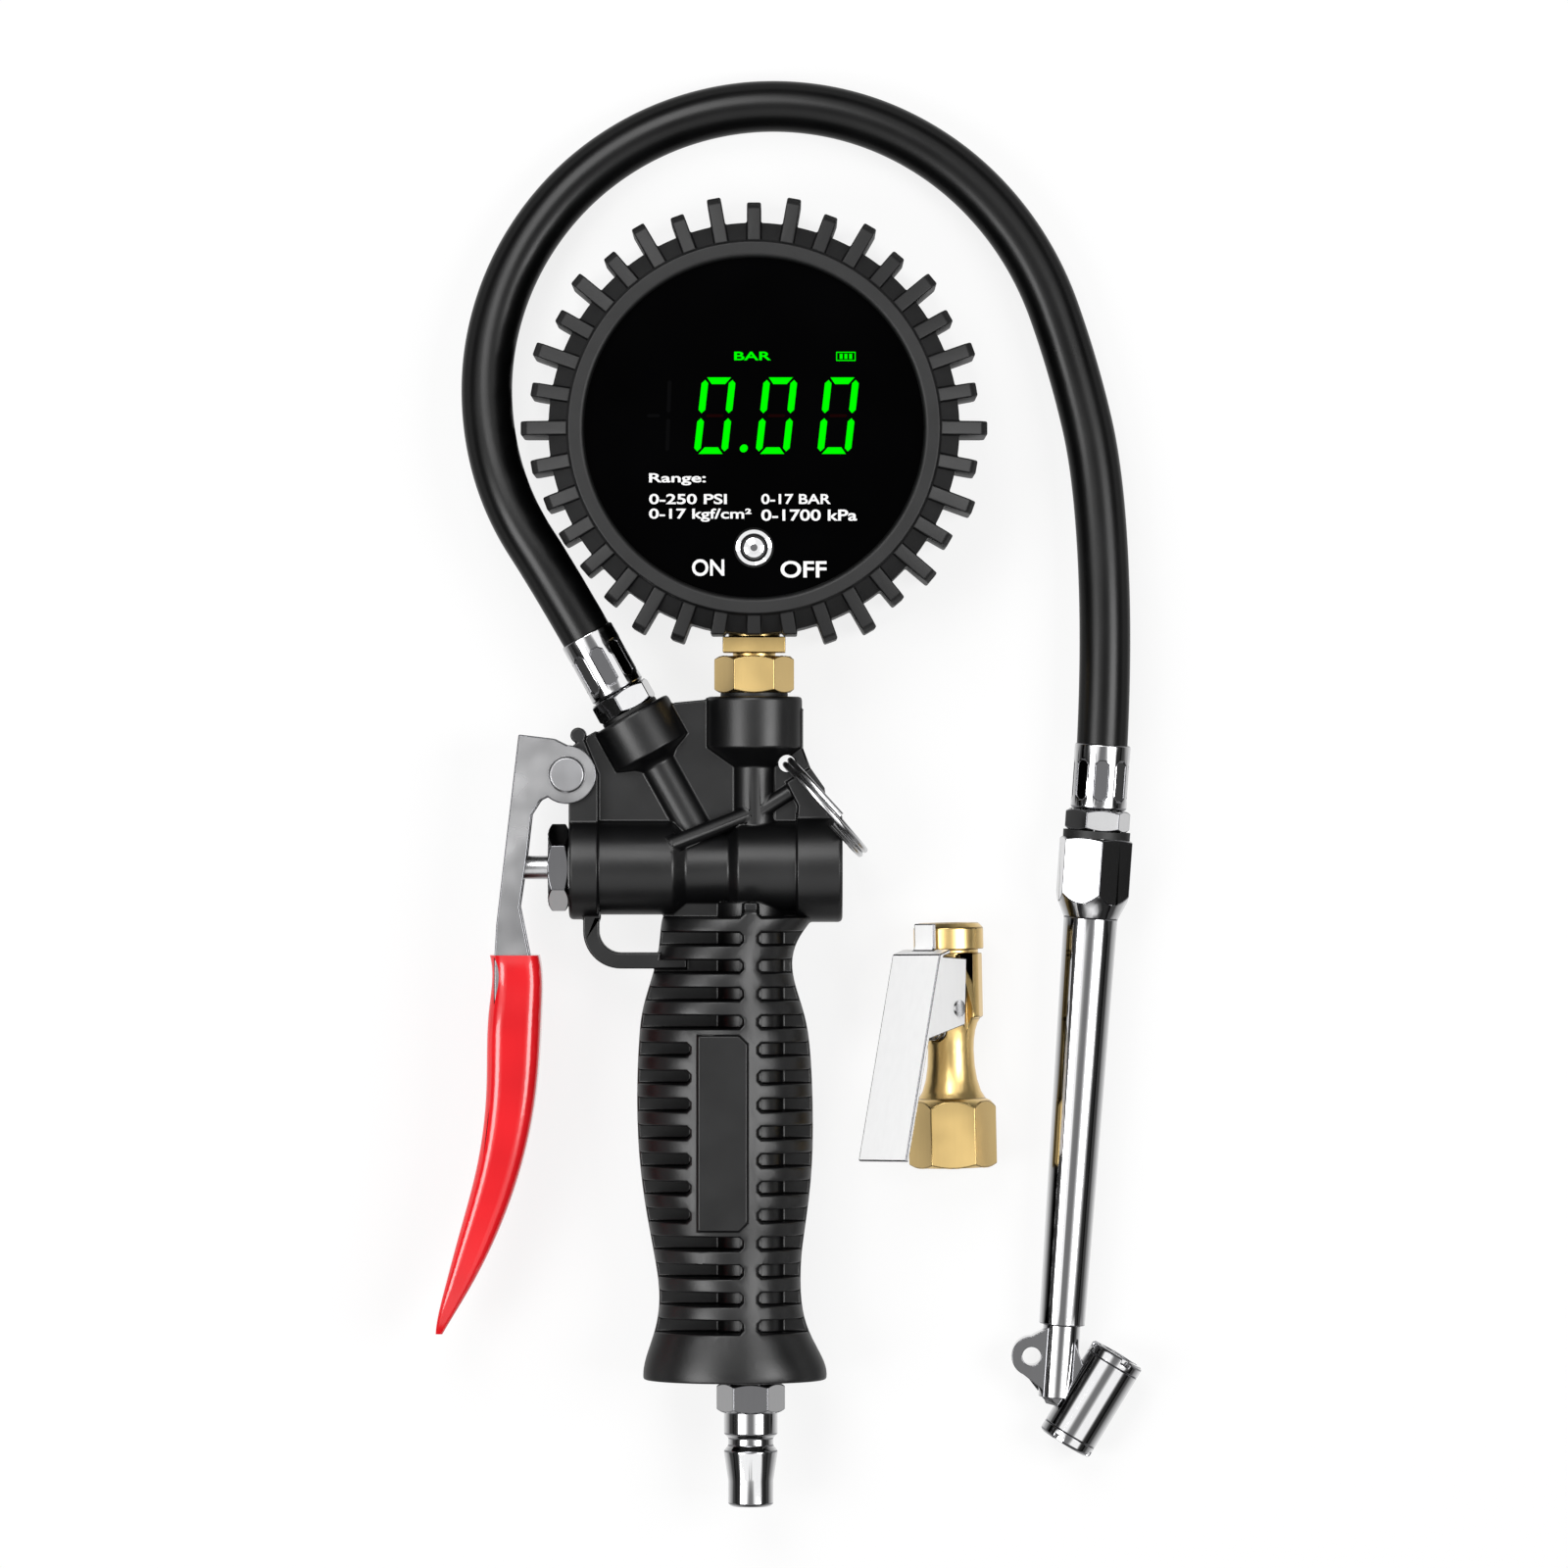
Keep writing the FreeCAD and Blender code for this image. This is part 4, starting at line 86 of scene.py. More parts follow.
# A rounded corner never stands further off the solid than this many edge radii
CORNER_REACH = 1.2

# Moulded grain: part of the noise over which the colour changes, stray of the roughness, relief
SHADE_BAND = (0.3, 0.7)
ROUGHNESS_STRAY = 0.06
GRAIN_RELIEF = 0.35
# Handling scratches: direction, number to the metre along each axis, relief and depth in metres
SCRATCH_TURN = (0.2, 0.4, 0.7)
SCRATCH_SCALE = (900.0, 60.0, 900.0)
SCRATCH_RELIEF = 0.2
SCRATCH_DEPTH = 0.000004
# Share of the plating's colour that a scratch keeps
SCRATCH_SHADE = 0.93
# Finger haze: patches to the metre, and the part of the noise over which the haze grows
HAZE_SCALE = 70.0
HAZE_BAND = (0.35, 0.75)
# Painted shade of bright metal: how far its colour darkens as it turns from the eye (0) to its
# outline (1), before its own strength
PAINTED_RIM_SHADE_STOPS = ((0.20, 0.0), (0.26, 1.0), (0.36, 1.0), (0.45, 0.76), (0.56, 0.6), (0.75, 0.3),
             (1.0, 0.5))
# Plastic and rubber lose their sheen over this part of the turn, down to this share
SHEEN_BAND = (0.08, 0.5)
SHEEN_LEFT = 0.2

# Soft boxes: name, the setting with its power, width and place in metres, and where all aim
SOFT_BOXES = [
    ("key_box", "key_power", 0.8, (-0.35, 0.75, 1.25)),
    ("left_box", "fill_power", 0.6, (-0.85, -0.3, 1.05)),
    ("right_box", "fill_power", 0.6, (0.85, -0.1, 1.05)),
]
LAMPS_AIM = (0.007, -0.083, 0.0)
FLOOR_HALF_WIDTH = 4.0
FLOOR_DROP = 0.0002
# Brightness of the room from the foot of its walls (0) to straight overhead (1)
ROOM_LEVELS = [(0.0, 1.0), (0.07, 1.0), (0.11, 0.04), (0.42, 0.02), (0.52, 0.12), (0.62, 1.0),
               (0.935, 1.0), (0.962, 0.5), (0.985, 0.2)]
OVERHEAD = (0.18, 0.18, 0.185)

# Gauge's face: places and sizes in millimetres about its centre
DIGITS_Y = 2.8
FIRST_DIGIT_X = -9.1
DIGIT_COUNT = 3
CAP_HALF_LENGTH = 2.8
BAR_GAP = 0.35
UNLIT_BAR_SHORTER = 1.4
UNLIT_MINUS_X = -23.4
UNLIT_MINUS_HALF_LENGTH = 1.6
UNLIT_ONE_X = -19.9
DECIMAL_POINT = (-1.5, -4.8)
DECIMAL_POINT_RADIUS = 0.92
# Battery sign in millimetres: centre, outline about it, width of its line, then its cells
BATTERY_CENTRE = (21.4, 16.6)
BATTERY_HALF = (2.15, 0.95)
BATTERY_OUTLINE = (4.4, 2.1)
BATTERY_LINE = 0.22
BATTERY_CELLS = 3
BATTERY_CELL = (0.7, 1.2)
BATTERY_CELL_PITCH = 1.1
# Shares of half a stroke: slope of a cap's ends, side bars made shorter and set inwards
CAP_TAPER = 1.6
SIDE_SHORTER = 0.3
SIDE_SET_IN = 0.5
# Strokes of the unlit bars, as shares of a lit one
UNLIT_BAR_STROKE = 0.45
UNLIT_MINUS_STROKE = 0.5
UNLIT_ONE_STROKE = 0.6
# Lean of the unlit minus and one, as a share of the digits' slant
UNLIT_ONE_LEAN = 0.3

# Lettering: piece, words, left, right, low and high edge in millimetres, finish
LETTERING = [
    ("unit_sign", "BAR", -4.6, 4.0, 15.7, 17.7, "lit_green"),
    ("legend_title", "Range:", -24.4, -11.2, -13.4, -10.6, "white_print"),
    ("legend_psi", "0-250 PSI", -24.4, -6.3, -17.8, -15.4, "white_print"),
    ("legend_bar", "0-17 BAR", 1.7, 17.9, -17.8, -15.4, "white_print"),
    ("legend_kgf", "0-17 kgf/cm²", -24.4, -0.6, -21.9, -18.8, "white_print"),
    ("legend_kpa", "0-1700 kPa", 1.7, 24.0, -21.7, -19.0, "white_print"),
    ("label_on", "ON", -14.4, -6.9, -34.5, -30.6, "white_print"),
    ("label_off", "OFF", 6.2, 16.9, -34.9, -31.0, "white_print"),
]
# Letters before they are stretched, in metres
LETTER_SIZE = 0.01
LETTER_BOLDNESS = 0.0002


class StudioSizes(PropertyGroup):
    """Camera, lamps and floor."""

    lens: FloatProperty(name="Lens", description="Focal length", default=200.0, unit="CAMERA")
    camera_x: FloatProperty(name="Camera X", description="Camera's place", default=0.007,
                            unit="LENGTH")
    camera_y: FloatProperty(name="Camera Y", description="Camera's place", default=-0.0829,
                            unit="LENGTH")
    camera_height: FloatProperty(name="Camera height", description="Above the table",
                                 default=2.0624, unit="LENGTH")
    key_power: FloatProperty(name="Key lamp", description="Power of the main soft box",
                             default=10.0, unit="POWER")
    fill_power: FloatProperty(name="Fill lamp", description="Power of the side soft boxes",
                              default=8.5, unit="POWER")
    room_light: FloatProperty(name="Room light", description="Plain light from the room",
                              default=0.16)
    floor_colour: FloatVectorProperty(name="Floor", description="Colour of the floor",
                                      subtype="COLOR", default=(0.93, 0.93, 0.93))
    floor_glow: FloatProperty(name="Floor's own white", description="Share of the floor's "
                              "colour that no shadow reaches", default=0.84, min=0.0, max=1.0)


class HoseSizes(PropertyGroup):
    """Rubber hose."""

    diameter: FloatProperty(name="Diameter", description="Outside diameter of the hose",
                            default=0.012, unit="LENGTH")
    length: FloatProperty(name="Length", description="Length from fitting to fitting",
                          default=0.3907, unit="LENGTH")


class EdgeSizes(PropertyGroup):
    """Rounding of the edges of each kind of piece."""

    moulded: FloatProperty(name="Moulded", description="Edge radius of the plastic gun",
                           default=0.00045, unit="LENGTH", precision=5)
    rubber: FloatProperty(name="Rubber", description="Edge radius of the boot",
                          default=0.0004, unit="LENGTH", precision=5)
    machined: FloatProperty(name="Machined", description="Edge radius of turned metal",
                            default=0.00022, unit="LENGTH", precision=5)
    sheet: FloatProperty(name="Sheet", description="Edge radius of bent sheet metal",
                         default=0.00035, unit="LENGTH", precision=5)
    thumb: FloatProperty(name="Thumb plate", description="Edge radius of the clip's lever",
                         default=0.0003, unit="LENGTH", precision=5)
    steps: IntProperty(name="Steps", description="Facets across each rounded edge",
                       default=2, min=1, max=4)


class FinishColours(PropertyGroup):
    """Colours of the finishes."""

    nylon: FloatVectorProperty(name="Gun", description="Moulded nylon of the gun",
                               subtype="COLOR", default=(0.0042, 0.0042, 0.0045))
    boot: FloatVectorProperty(name="Boot", description="Rubber boot of the gauge",
                              subtype="COLOR", default=(0.006, 0.006, 0.0063))
    hose: FloatVectorProperty(name="Hose", description="Rubber of the hose",
                              subtype="COLOR", default=(0.002, 0.002, 0.0021))
    red: FloatVectorProperty(name="Sleeve", description="Vinyl sleeve of the lever",
                             subtype="COLOR", default=(0.80, 0.010, 0.016))
    chrome: FloatVectorProperty(name="Chrome", description="Bright plating",
                                subtype="COLOR", default=(0.90, 0.90, 0.91))
    steel: FloatVectorProperty(name="Steel", description="Zinc plated steel",
                               subtype="COLOR", default=(0.66, 0.66, 0.67))
    brass: FloatVectorProperty(name="Brass", description="Turned brass",
                               subtype="COLOR", default=(0.95, 0.68, 0.28))
    lens: FloatVectorProperty(name="Lens", description="Smoked window of the gauge",
                              subtype="COLOR", default=(0.0004, 0.0004, 0.0005))
    glow: FloatVectorProperty(name="Digits", description="Lit segments of the display",
                              subtype="COLOR", default=(0.0, 1.0, 0.0))


class FaceSizes(PropertyGroup):
    """Digits and lettering of the gauge, about its centre."""

    digit_height: FloatProperty(name="Digit height", description="Height of a digit",
                                default=0.0178, unit="LENGTH", precision=4)
    digit_width: FloatProperty(name="Digit width", description="Width of an upright digit",
                               default=0.0071, unit="LENGTH", precision=4)
    digit_pitch: FloatProperty(name="Digit pitch", description="From digit to digit",
                               default=0.01435, unit="LENGTH", precision=5)
    stroke: FloatProperty(name="Stroke", description="Width of a lit segment",
                          default=0.00155, unit="LENGTH", precision=5)
    slant: FloatProperty(name="Slant", description="Sideways lean for each unit of height",
                         default=0.113)
    print_rise: FloatProperty(name="Print", description="Thickness of the printing",
                              default=0.00006, unit="LENGTH", precision=5)


# Shader node helpers


def new_material(name):
    """An empty material, its node tree and its output."""
    material = bpy.data.materials.new("finish_" + name)
    material.use_nodes = True
    tree = material.node_tree
    tree.nodes.clear()
    output = tree.nodes.new("ShaderNodeOutputMaterial")
    return material, tree, output


def principled(tree, output, **sockets):
    """A Principled shader with its own values, wired to the output."""
    shader = tree.nodes.new("ShaderNodeBsdfPrincipled")
    for name, value in sockets.items():
        shader.inputs[name.replace("_", " ").title().replace("Ior", "IOR")].default_value = value
    tree.links.new(shader.outputs[0], output.inputs["Surface"])
    return shader


def ramp_node(tree, stops):
    """A colour ramp with the given stops, each a position and a colour."""
    ramp = tree.nodes.new("ShaderNodeValToRGB")
    elements = ramp.color_ramp.elements
    for element, (position, colour) in zip((elements[0], elements[1]), (stops[0], stops[-1])):
        element.position = position
        element.color = (*colour, 1)
    for position, colour in stops[1:-1]:
        elements.new(position).color = (*colour, 1)
    return ramp


def range_node(tree, **sockets):
    """A Map Range node with its own values."""
    node = tree.nodes.new("ShaderNodeMapRange")
    for name, value in sockets.items():
        node.inputs[name.replace("_", " ").title()].default_value = value
    return node


def facing(tree):
    """How far the surface turns away from the eye, from 0 to 1."""
    turned = tree.nodes.new("ShaderNodeLayerWeight")
    turned.inputs["Blend"].default_value = 0.5
    return turned.outputs["Facing"]


def toned(colour, share):
    """A colour made darker or lighter by a share of itself."""
    return [min(1.0, part * share) for part in colour]


def new_group(name, inputs, outputs):
    """A node group with the named sockets, and its two ends."""
    group = bpy.data.node_groups.new(name, "ShaderNodeTree")
    for way, sockets in (("INPUT", inputs), ("OUTPUT", outputs)):
        for socket, kind in sockets.items():
            group.interface.new_socket(socket, in_out=way, socket_type="NodeSocket" + kind)
    return group, group.nodes.new("NodeGroupInput"), group.nodes.new("NodeGroupOutput")


def noise(group, detail, scale=1.0):
    """A noise texture inside a node group."""
    texture = group.nodes.new("ShaderNodeTexNoise")
    texture.inputs["Detail"].default_value = detail
    texture.inputs["Scale"].default_value = scale
    return texture


def grain_group():
    """Node group: fine moulding grain as a height, and slow patches as a shade."""
    group, start, end = new_group(
        "moulding_grain",
        {"Vector": "Vector", "Grain": "Float", "Patch": "Float"},
        {"Height": "Float", "Shade": "Float"},
    )
    fine = noise(group, 3.0)
    slow = noise(group, 2.0)
    for texture, scale, result in ((fine, "Grain", "Height"), (slow, "Patch", "Shade")):
        group.links.new(start.outputs["Vector"], texture.inputs["Vector"])
        group.links.new(start.outputs[scale], texture.inputs["Scale"])
        group.links.new(texture.outputs["Fac"], end.inputs[result])


def scratch_group():
    """Node group: fine handling scratches and finger haze for bright metal."""
    group, start, end = new_group(
        "handling_marks",
        {"Vector": "Vector", "Clean": "Float", "Haze": "Float"},
        {"Roughness": "Float", "Height": "Float"},
    )
    stretch = group.nodes.new("ShaderNodeMapping")
    stretch.inputs["Rotation"].default_value = SCRATCH_TURN
    stretch.inputs["Scale"].default_value = SCRATCH_SCALE
    lines = noise(group, 4.0)
    cloud = noise(group, 2.0, HAZE_SCALE)
    spread = range_node(group, from_min=HAZE_BAND[0], from_max=HAZE_BAND[1])
    wires = [
        (start.outputs["Vector"], stretch.inputs["Vector"]),
        (stretch.outputs["Vector"], lines.inputs["Vector"]),
        (start.outputs["Vector"], cloud.inputs["Vector"]),
        (cloud.outputs["Fac"], spread.inputs["Value"]),
        (start.outputs["Clean"], spread.inputs["To Min"]),
        (start.outputs["Haze"], spread.inputs["To Max"]),
        (spread.outputs["Result"], end.inputs["Roughness"]),
        (lines.outputs["Fac"], end.inputs["Height"]),
    ]
    for source, target in wires:
        group.links.new(source, target)


def effect(tree, shader, name, strength, depth, **values):
    """Lay a shared effect over a material and let its height stand out in the surface."""
    place = tree.nodes.new("ShaderNodeTexCoord")
    group = tree.nodes.new("ShaderNodeGroup")
    group.node_tree = bpy.data.node_groups[name]
    for socket, value in values.items():
        group.inputs[socket].default_value = value
    tree.links.new(place.outputs["Object"], group.inputs["Vector"])
    bump = tree.nodes.new("ShaderNodeBump")
    bump.inputs["Strength"].default_value = strength
    bump.inputs["Distance"].default_value = depth
    tree.links.new(group.outputs["Height"], bump.inputs["Height"])
    tree.links.new(bump.outputs["Normal"], shader.inputs["Normal"])
    return group


def grained(name, colour, roughness, grain, patch, depth, contrast=0.25, gloss=0.5, coat=0.0):
    """Rubber or plastic: grain, slow change in its shade, less sheen where it turns away."""
    material, tree, output = new_material(name)
    shader = principled(tree, output, specular_ior_level=gloss, coat_weight=coat)
    group = effect(tree, shader, "moulding_grain", GRAIN_RELIEF, depth, Grain=grain, Patch=patch)
    ramp = ramp_node(tree, [(SHADE_BAND[0], toned(colour, 1 - contrast)),
                            (SHADE_BAND[1], toned(colour, 1 + contrast))])
    rough = range_node(tree, to_min=roughness - ROUGHNESS_STRAY,
                       to_max=roughness + ROUGHNESS_STRAY)
    sheen = range_node(tree, from_min=SHEEN_BAND[0], from_max=SHEEN_BAND[1],
                       to_min=gloss, to_max=gloss * SHEEN_LEFT)
    sheen.interpolation_type = "SMOOTHSTEP"
    wires = [
        (group.outputs["Shade"], ramp.inputs["Fac"]),
        (ramp.outputs["Color"], shader.inputs["Base Color"]),
        (group.outputs["Shade"], rough.inputs["Value"]),
        (rough.outputs["Result"], shader.inputs["Roughness"]),
        (facing(tree), sheen.inputs["Value"]),
        (sheen.outputs["Result"], shader.inputs["Specular IOR Level"]),
    ]
    for source, target in wires:
        tree.links.new(source, target)
    return material


def plated(name, colour, clean, haze, painted_rim_shade, metallic=1.0):
    """Bright metal with finger haze, faint scratches and a painted shade that darkens its colour
    where it turns away from the eye.
    """
    material, tree, output = new_material(name)
    shader = principled(tree, output, metallic=metallic)
    group = effect(tree, shader, "handling_marks", SCRATCH_RELIEF, SCRATCH_DEPTH,
                   Clean=clean, Haze=haze)
    tint = ramp_node(tree, [(0.0, toned(colour, SCRATCH_SHADE)), (1.0, tuple(colour))])
    # Painted shade: the colour darkens by how far the surface turns from the eye
    edge = ramp_node(tree, [(place, [1 - dark * painted_rim_shade] * 3) for place, dark in PAINTED_RIM_SHADE_STOPS])
    shade = tree.nodes.new("ShaderNodeMix")
    shade.data_type = "RGBA"
    shade.blend_type = "MULTIPLY"
    shade.inputs["Factor"].default_value = 1.0
    wires = [
        (group.outputs["Height"], tint.inputs["Fac"]),
        (facing(tree), edge.inputs["Fac"]),
        (tint.outputs["Color"], shade.inputs["A"]),
        (edge.outputs["Color"], shade.inputs["B"]),
        (shade.outputs["Result"], shader.inputs["Base Color"]),
        (group.outputs["Roughness"], shader.inputs["Roughness"]),
    ]
    for source, target in wires:
        tree.links.new(source, target)
    return material


def lit(name, colour, strength):
    """A segment of the display: glows in its own colour; on the unlit segments the glow is painted
    light.
    """
    material, tree, output = new_material(name)
    principled(tree, output, base_color=(0, 0, 0, 1), roughness=0.6, specular_ior_level=0.0,
               emission_color=(*colour, 1), emission_strength=strength)
    return material


def finish(name):
    return bpy.data.materials["finish_" + name]


# Mesh helpers


def add_piece(name, mesh, material, body):
    """Put a finished mesh in the scene on its body, with its finish."""
    piece = bpy.data.objects.new(name, mesh)
    bpy.context.scene.collection.objects.link(piece)
    mesh.materials.append(finish(material))
    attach(piece, body)
    return piece


def smooth(mesh, angle):
    """Smooth shading with the real edges kept sharp."""
    for face in mesh.polygons:
        face.use_smooth = True
    mesh.set_sharp_from_angle(angle=math.radians(angle))


# Painted shade: the darker finish painted on the rounded edges of each bright metal, as a dark
# line
EDGE_PAINTED_SHADE = {
    "chrome": "chrome_edge",
    "pressed_chrome": "chrome_edge",
    "satin_plate": "chrome_edge",
    "brass": "brass_edge",
}


def eased(node, name, width, steps, material, body):
    """A copy of a solid piece with its edges rounded, in place of the sharp one."""
    mesh = bpy.data.meshes.new(name)
    shape = bmesh.new()
    shape.from_mesh(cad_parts[node].data)
    bmesh.ops.remove_doubles(shape, verts=shape.verts, dist=MERGE_DISTANCE)
    bmesh.ops.dissolve_limit(
        shape, angle_limit=math.radians(FLAT_ANGLE), verts=shape.verts, edges=shape.edges
    )
    solid = BVHTree.FromBMesh(shape)
    sharp = [edge for edge in shape.edges if edge.is_manifold and
             edge.calc_face_angle(0.0) > math.radians(SHARP_ANGLE)]
    made = bmesh.ops.bevel(
        shape, geom=sharp, offset=width, offset_type="OFFSET", segments=steps,
        profile=0.5, affect="EDGES", clamp_overlap=False, material=-1,
    )
    # Painted shade: the rounded faces take the darker edge finish
    if material in EDGE_PAINTED_SHADE:
        for face in made["faces"]:
            face.material_index = 1
    # A corner thrown out by the rounding goes back onto the solid
    for vert in shape.verts:
        nearest, _, _, distance = solid.find_nearest(vert.co)
        if distance > CORNER_REACH * width:
            vert.co = nearest
    shape.to_mesh(mesh)
    shape.free()
    smooth(mesh, ROUNDED_CREASE)
    piece = add_piece(name, mesh, material, body)
    if material in EDGE_PAINTED_SHADE:
        mesh.materials.append(finish(EDGE_PAINTED_SHADE[material]))
    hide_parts(node)
    weigh = piece.modifiers.new("Weighted normals", "WEIGHTED_NORMAL")
    weigh.keep_sharp = True


def repaint(node, material):
    """A CAD piece whose shape is right gets its finish."""
    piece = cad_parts[node]
    piece.data.materials.clear()
    piece.data.materials.append(finish(material))
    smooth(piece.data, PLAIN_CREASE)


class INFLATOR_OT_camera_and_hose(Operator):
    """Aim the camera as the photograph does and lay the hose on its route"""

    bl_idname = "inflator.camera_and_hose"
    bl_label = "Camera and hose"

    def execute(self, context):
        studio = context.scene.inflator_studio
        data = bpy.data.cameras.new("camera")
        data.lens = studio.lens
        data.clip_end = 20.0
        camera = bpy.data.objects.new("camera", data)
        camera.location = (studio.camera_x, studio.camera_y, studio.camera_height)
        context.scene.collection.objects.link(camera)
        context.scene.camera = camera

        sizes = context.scene.inflator_hose
        line = bpy.data.curves.new("hose_rubber_line", "CURVE")
        line.dimensions = "3D"
        line.resolution_u = 24
        line.bevel_depth = sizes.diameter / 2
        line.bevel_resolution = 12
        line.use_fill_caps = True
        spline = line.splines.new("NURBS")
        spline.points.add(len(HOSE_ROUTE) - 1)
        for point, place in zip(spline.points, HOSE_ROUTE):
            point.co = (*place, 1.0)
        spline.order_u = 3
        spline.use_endpoint_u = True
        hose = bpy.data.objects.new("air_hose", line)
        context.scene.collection.objects.link(hose)
        line.materials.append(finish("hose_rubber"))
        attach(hose, "gun")
        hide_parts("hose")
        return {"FINISHED"}


class INFLATOR_OT_finishes(Operator):
    """Mix the finishes of every piece"""

    bl_idname = "inflator.finishes"
    bl_label = "Finishes"

    def execute(self, context):
        colours = context.scene.inflator_colours
        grain_group()
        scratch_group()
        grained("gun_nylon", colours.nylon, roughness=0.37, grain=2600.0, patch=90.0,
                depth=0.00004)
        grained("boot_rubber", colours.boot, roughness=0.48, grain=2000.0, patch=120.0,
                depth=0.00003, gloss=0.42)
        grained("hose_rubber", colours.hose, roughness=0.30, grain=1800.0, patch=60.0,
                depth=0.00002, gloss=0.32)
        grained("seal_rubber", (0.004, 0.004, 0.004), roughness=0.5, grain=2000.0, patch=90.0,
                depth=0.00002)
        grained("case_plastic", (0.006, 0.006, 0.006), roughness=0.55, grain=2600.0, patch=90.0,
                depth=0.00003)
        grained("red_vinyl", colours.red, roughness=0.22, grain=500.0, patch=60.0,
                depth=0.00001, contrast=0.08, coat=0.6)
        grained("board_green", (0.01, 0.08, 0.03), roughness=0.4, grain=900.0, patch=90.0,
                depth=0.00001)
        grained("smoked_lens", colours.lens, roughness=0.10, grain=90.0, patch=40.0,
                depth=0.0, contrast=0.5, gloss=0.06)
        grained("white_print", (0.86, 0.86, 0.86), roughness=0.5, grain=900.0, patch=90.0,
                depth=0.0, contrast=0.02)
        plated("chrome", colours.chrome, clean=0.05, haze=0.12, painted_rim_shade=0.95)
        # Painted shade for the rounded edges of chrome: a dark copy of the plating
        plated("chrome_edge", (0.20, 0.20, 0.21), clean=0.15, haze=0.25, painted_rim_shade=0.3)
        plated("pressed_chrome", colours.chrome, clean=0.20, haze=0.32, painted_rim_shade=0.8)
        # Painted reflection: the plated thumb plate gets a near-white colour without metal, in
        # place of the bright light it reflects
        plated("satin_plate", (0.97, 0.97, 0.97), clean=0.34, haze=0.36, painted_rim_shade=0.0, metallic=0.0)
        plated("zinc_steel", colours.steel, clean=0.16, haze=0.34, painted_rim_shade=0.7)
        plated("rivet_steel", (0.34, 0.34, 0.35), clean=0.3, haze=0.5, painted_rim_shade=0.5)
        plated("brass", colours.brass, clean=0.30, haze=0.38, painted_rim_shade=0.5)
        # Painted shade for the rounded edges of brass: a dark copy of the brass
        plated("brass_edge", toned(colours.brass, 0.45), clean=0.2, haze=0.3, painted_rim_shade=0.3)
        lit("lit_green", colours.glow, strength=1.0)
        # Painted glow: the unlit bars and the unlit one glow faintly, though they are off
        lit("dim_red", (0.020, 0.003, 0.003), strength=0.5)
        lit("dim_grey", (0.006, 0.006, 0.0065), strength=0.6)
        return {"FINISHED"}


# Solid pieces that get rounded edges: node, new name, kind of edge, finish, body, slot
EASED_PIECES = [
    ("gun_body", "gun_moulding", "moulded", "gun_nylon", "gun", "gun_plastic"),
    ("gauge_boot", "boot_moulding", "rubber", "boot_rubber", "gun", "boot_rubber"),
    ("lever", "lever_channel", "sheet", "pressed_chrome", "lever", "chrome"),
    ("lever_pin", "lever_rivet", "machined", "rivet_steel", "gun", "zinc_steel"),
    ("gauge_stem", "gauge_adapter", "machined", "brass", "gun", "brass"),
    ("gauge_nut", "gauge_lock_nut", "machined", "brass", "gun", "brass"),
    ("gland_nut", "gland_hexagon", "machined", "chrome", "gun", "chrome"),
    ("inlet_plug", "quick_plug", "machined", "chrome", "gun", "zinc_steel"),
    ("hose_nipple_gun", "port_fitting_gun", "machined", "chrome", "gun", "chrome"),
    ("hose_nipple_chuck", "port_fitting_chuck", "machined", "chrome", "gun", "chrome"),
    ("hose_ferrule_gun", "crimp_sleeve_gun", "machined", "chrome", "gun", "chrome"),
    ("hose_ferrule_chuck", "crimp_sleeve_chuck", "machined", "chrome", "gun", "chrome"),
    ("chuck_stem", "chuck_long_stem", "machined", "chrome", "gun", "chrome"),
    ("chuck_head", "chuck_cross_head", "machined", "chrome", "gun", "chrome"),
    ("chuck_cap_top", "castle_cap_top", "machined", "chrome", "gun", "chrome"),
    ("chuck_cap_bottom", "castle_cap_bottom", "machined", "chrome", "gun", "chrome"),
    ("clip_chuck_body", "clip_body_turned", "machined", "brass", "clip_chuck", "brass"),
    ("clip_chuck_lever", "clip_thumb_plate", "thumb", "satin_plate", "clip_lever", "chrome"),
]

REPAINTED = {
    "smoked_lens": ["gauge_lens"],
    "chrome": ["power_button", "button_ring", "barrel_end_cap", "clip_chuck_pin"],
    "zinc_steel": ["key_ring", "cover_screws", "board_screws", "button_spring", "valve_spring",
                   "chuck_spring", "clip_chuck_spring", "tact_switch", "pressure_sensor",
                   "inlet_filter", "valve_stem"],
    "brass": ["valve_seat", "chuck_plunger_top", "chuck_plunger_bottom",
              "clip_chuck_depressor"],
    "seal_rubber": ["gauge_seal", "inlet_seal", "stem_seal", "valve_poppet", "hose_seal_gun",
                    "hose_seal_chuck", "chuck_seal_top", "chuck_seal_bottom",
                    "clip_chuck_seal"],
    "case_plastic": ["gauge_case", "battery_tray", "battery_cover", "battery_cells",
                     "display_module"],
    "board_green": ["gauge_board"],
    "red_vinyl": ["lever_sleeve"],
}


class INFLATOR_OT_solid_pieces(Operator):
    """Round the edges of the solid pieces and give every piece its finish"""

    bl_idname = "inflator.solid_pieces"
    bl_label = "Solid pieces"

    def execute(self, context):
        edges = context.scene.inflator_edges
        for node, name, kind, material, body, slot in EASED_PIECES:
            eased(node, name, getattr(edges, kind), edges.steps, material, body)
        for material, nodes in REPAINTED.items():
            for node in nodes:
                repaint(node, material)
        return {"FINISHED"}


def lens_top():
    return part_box("gauge_lens")[1].z


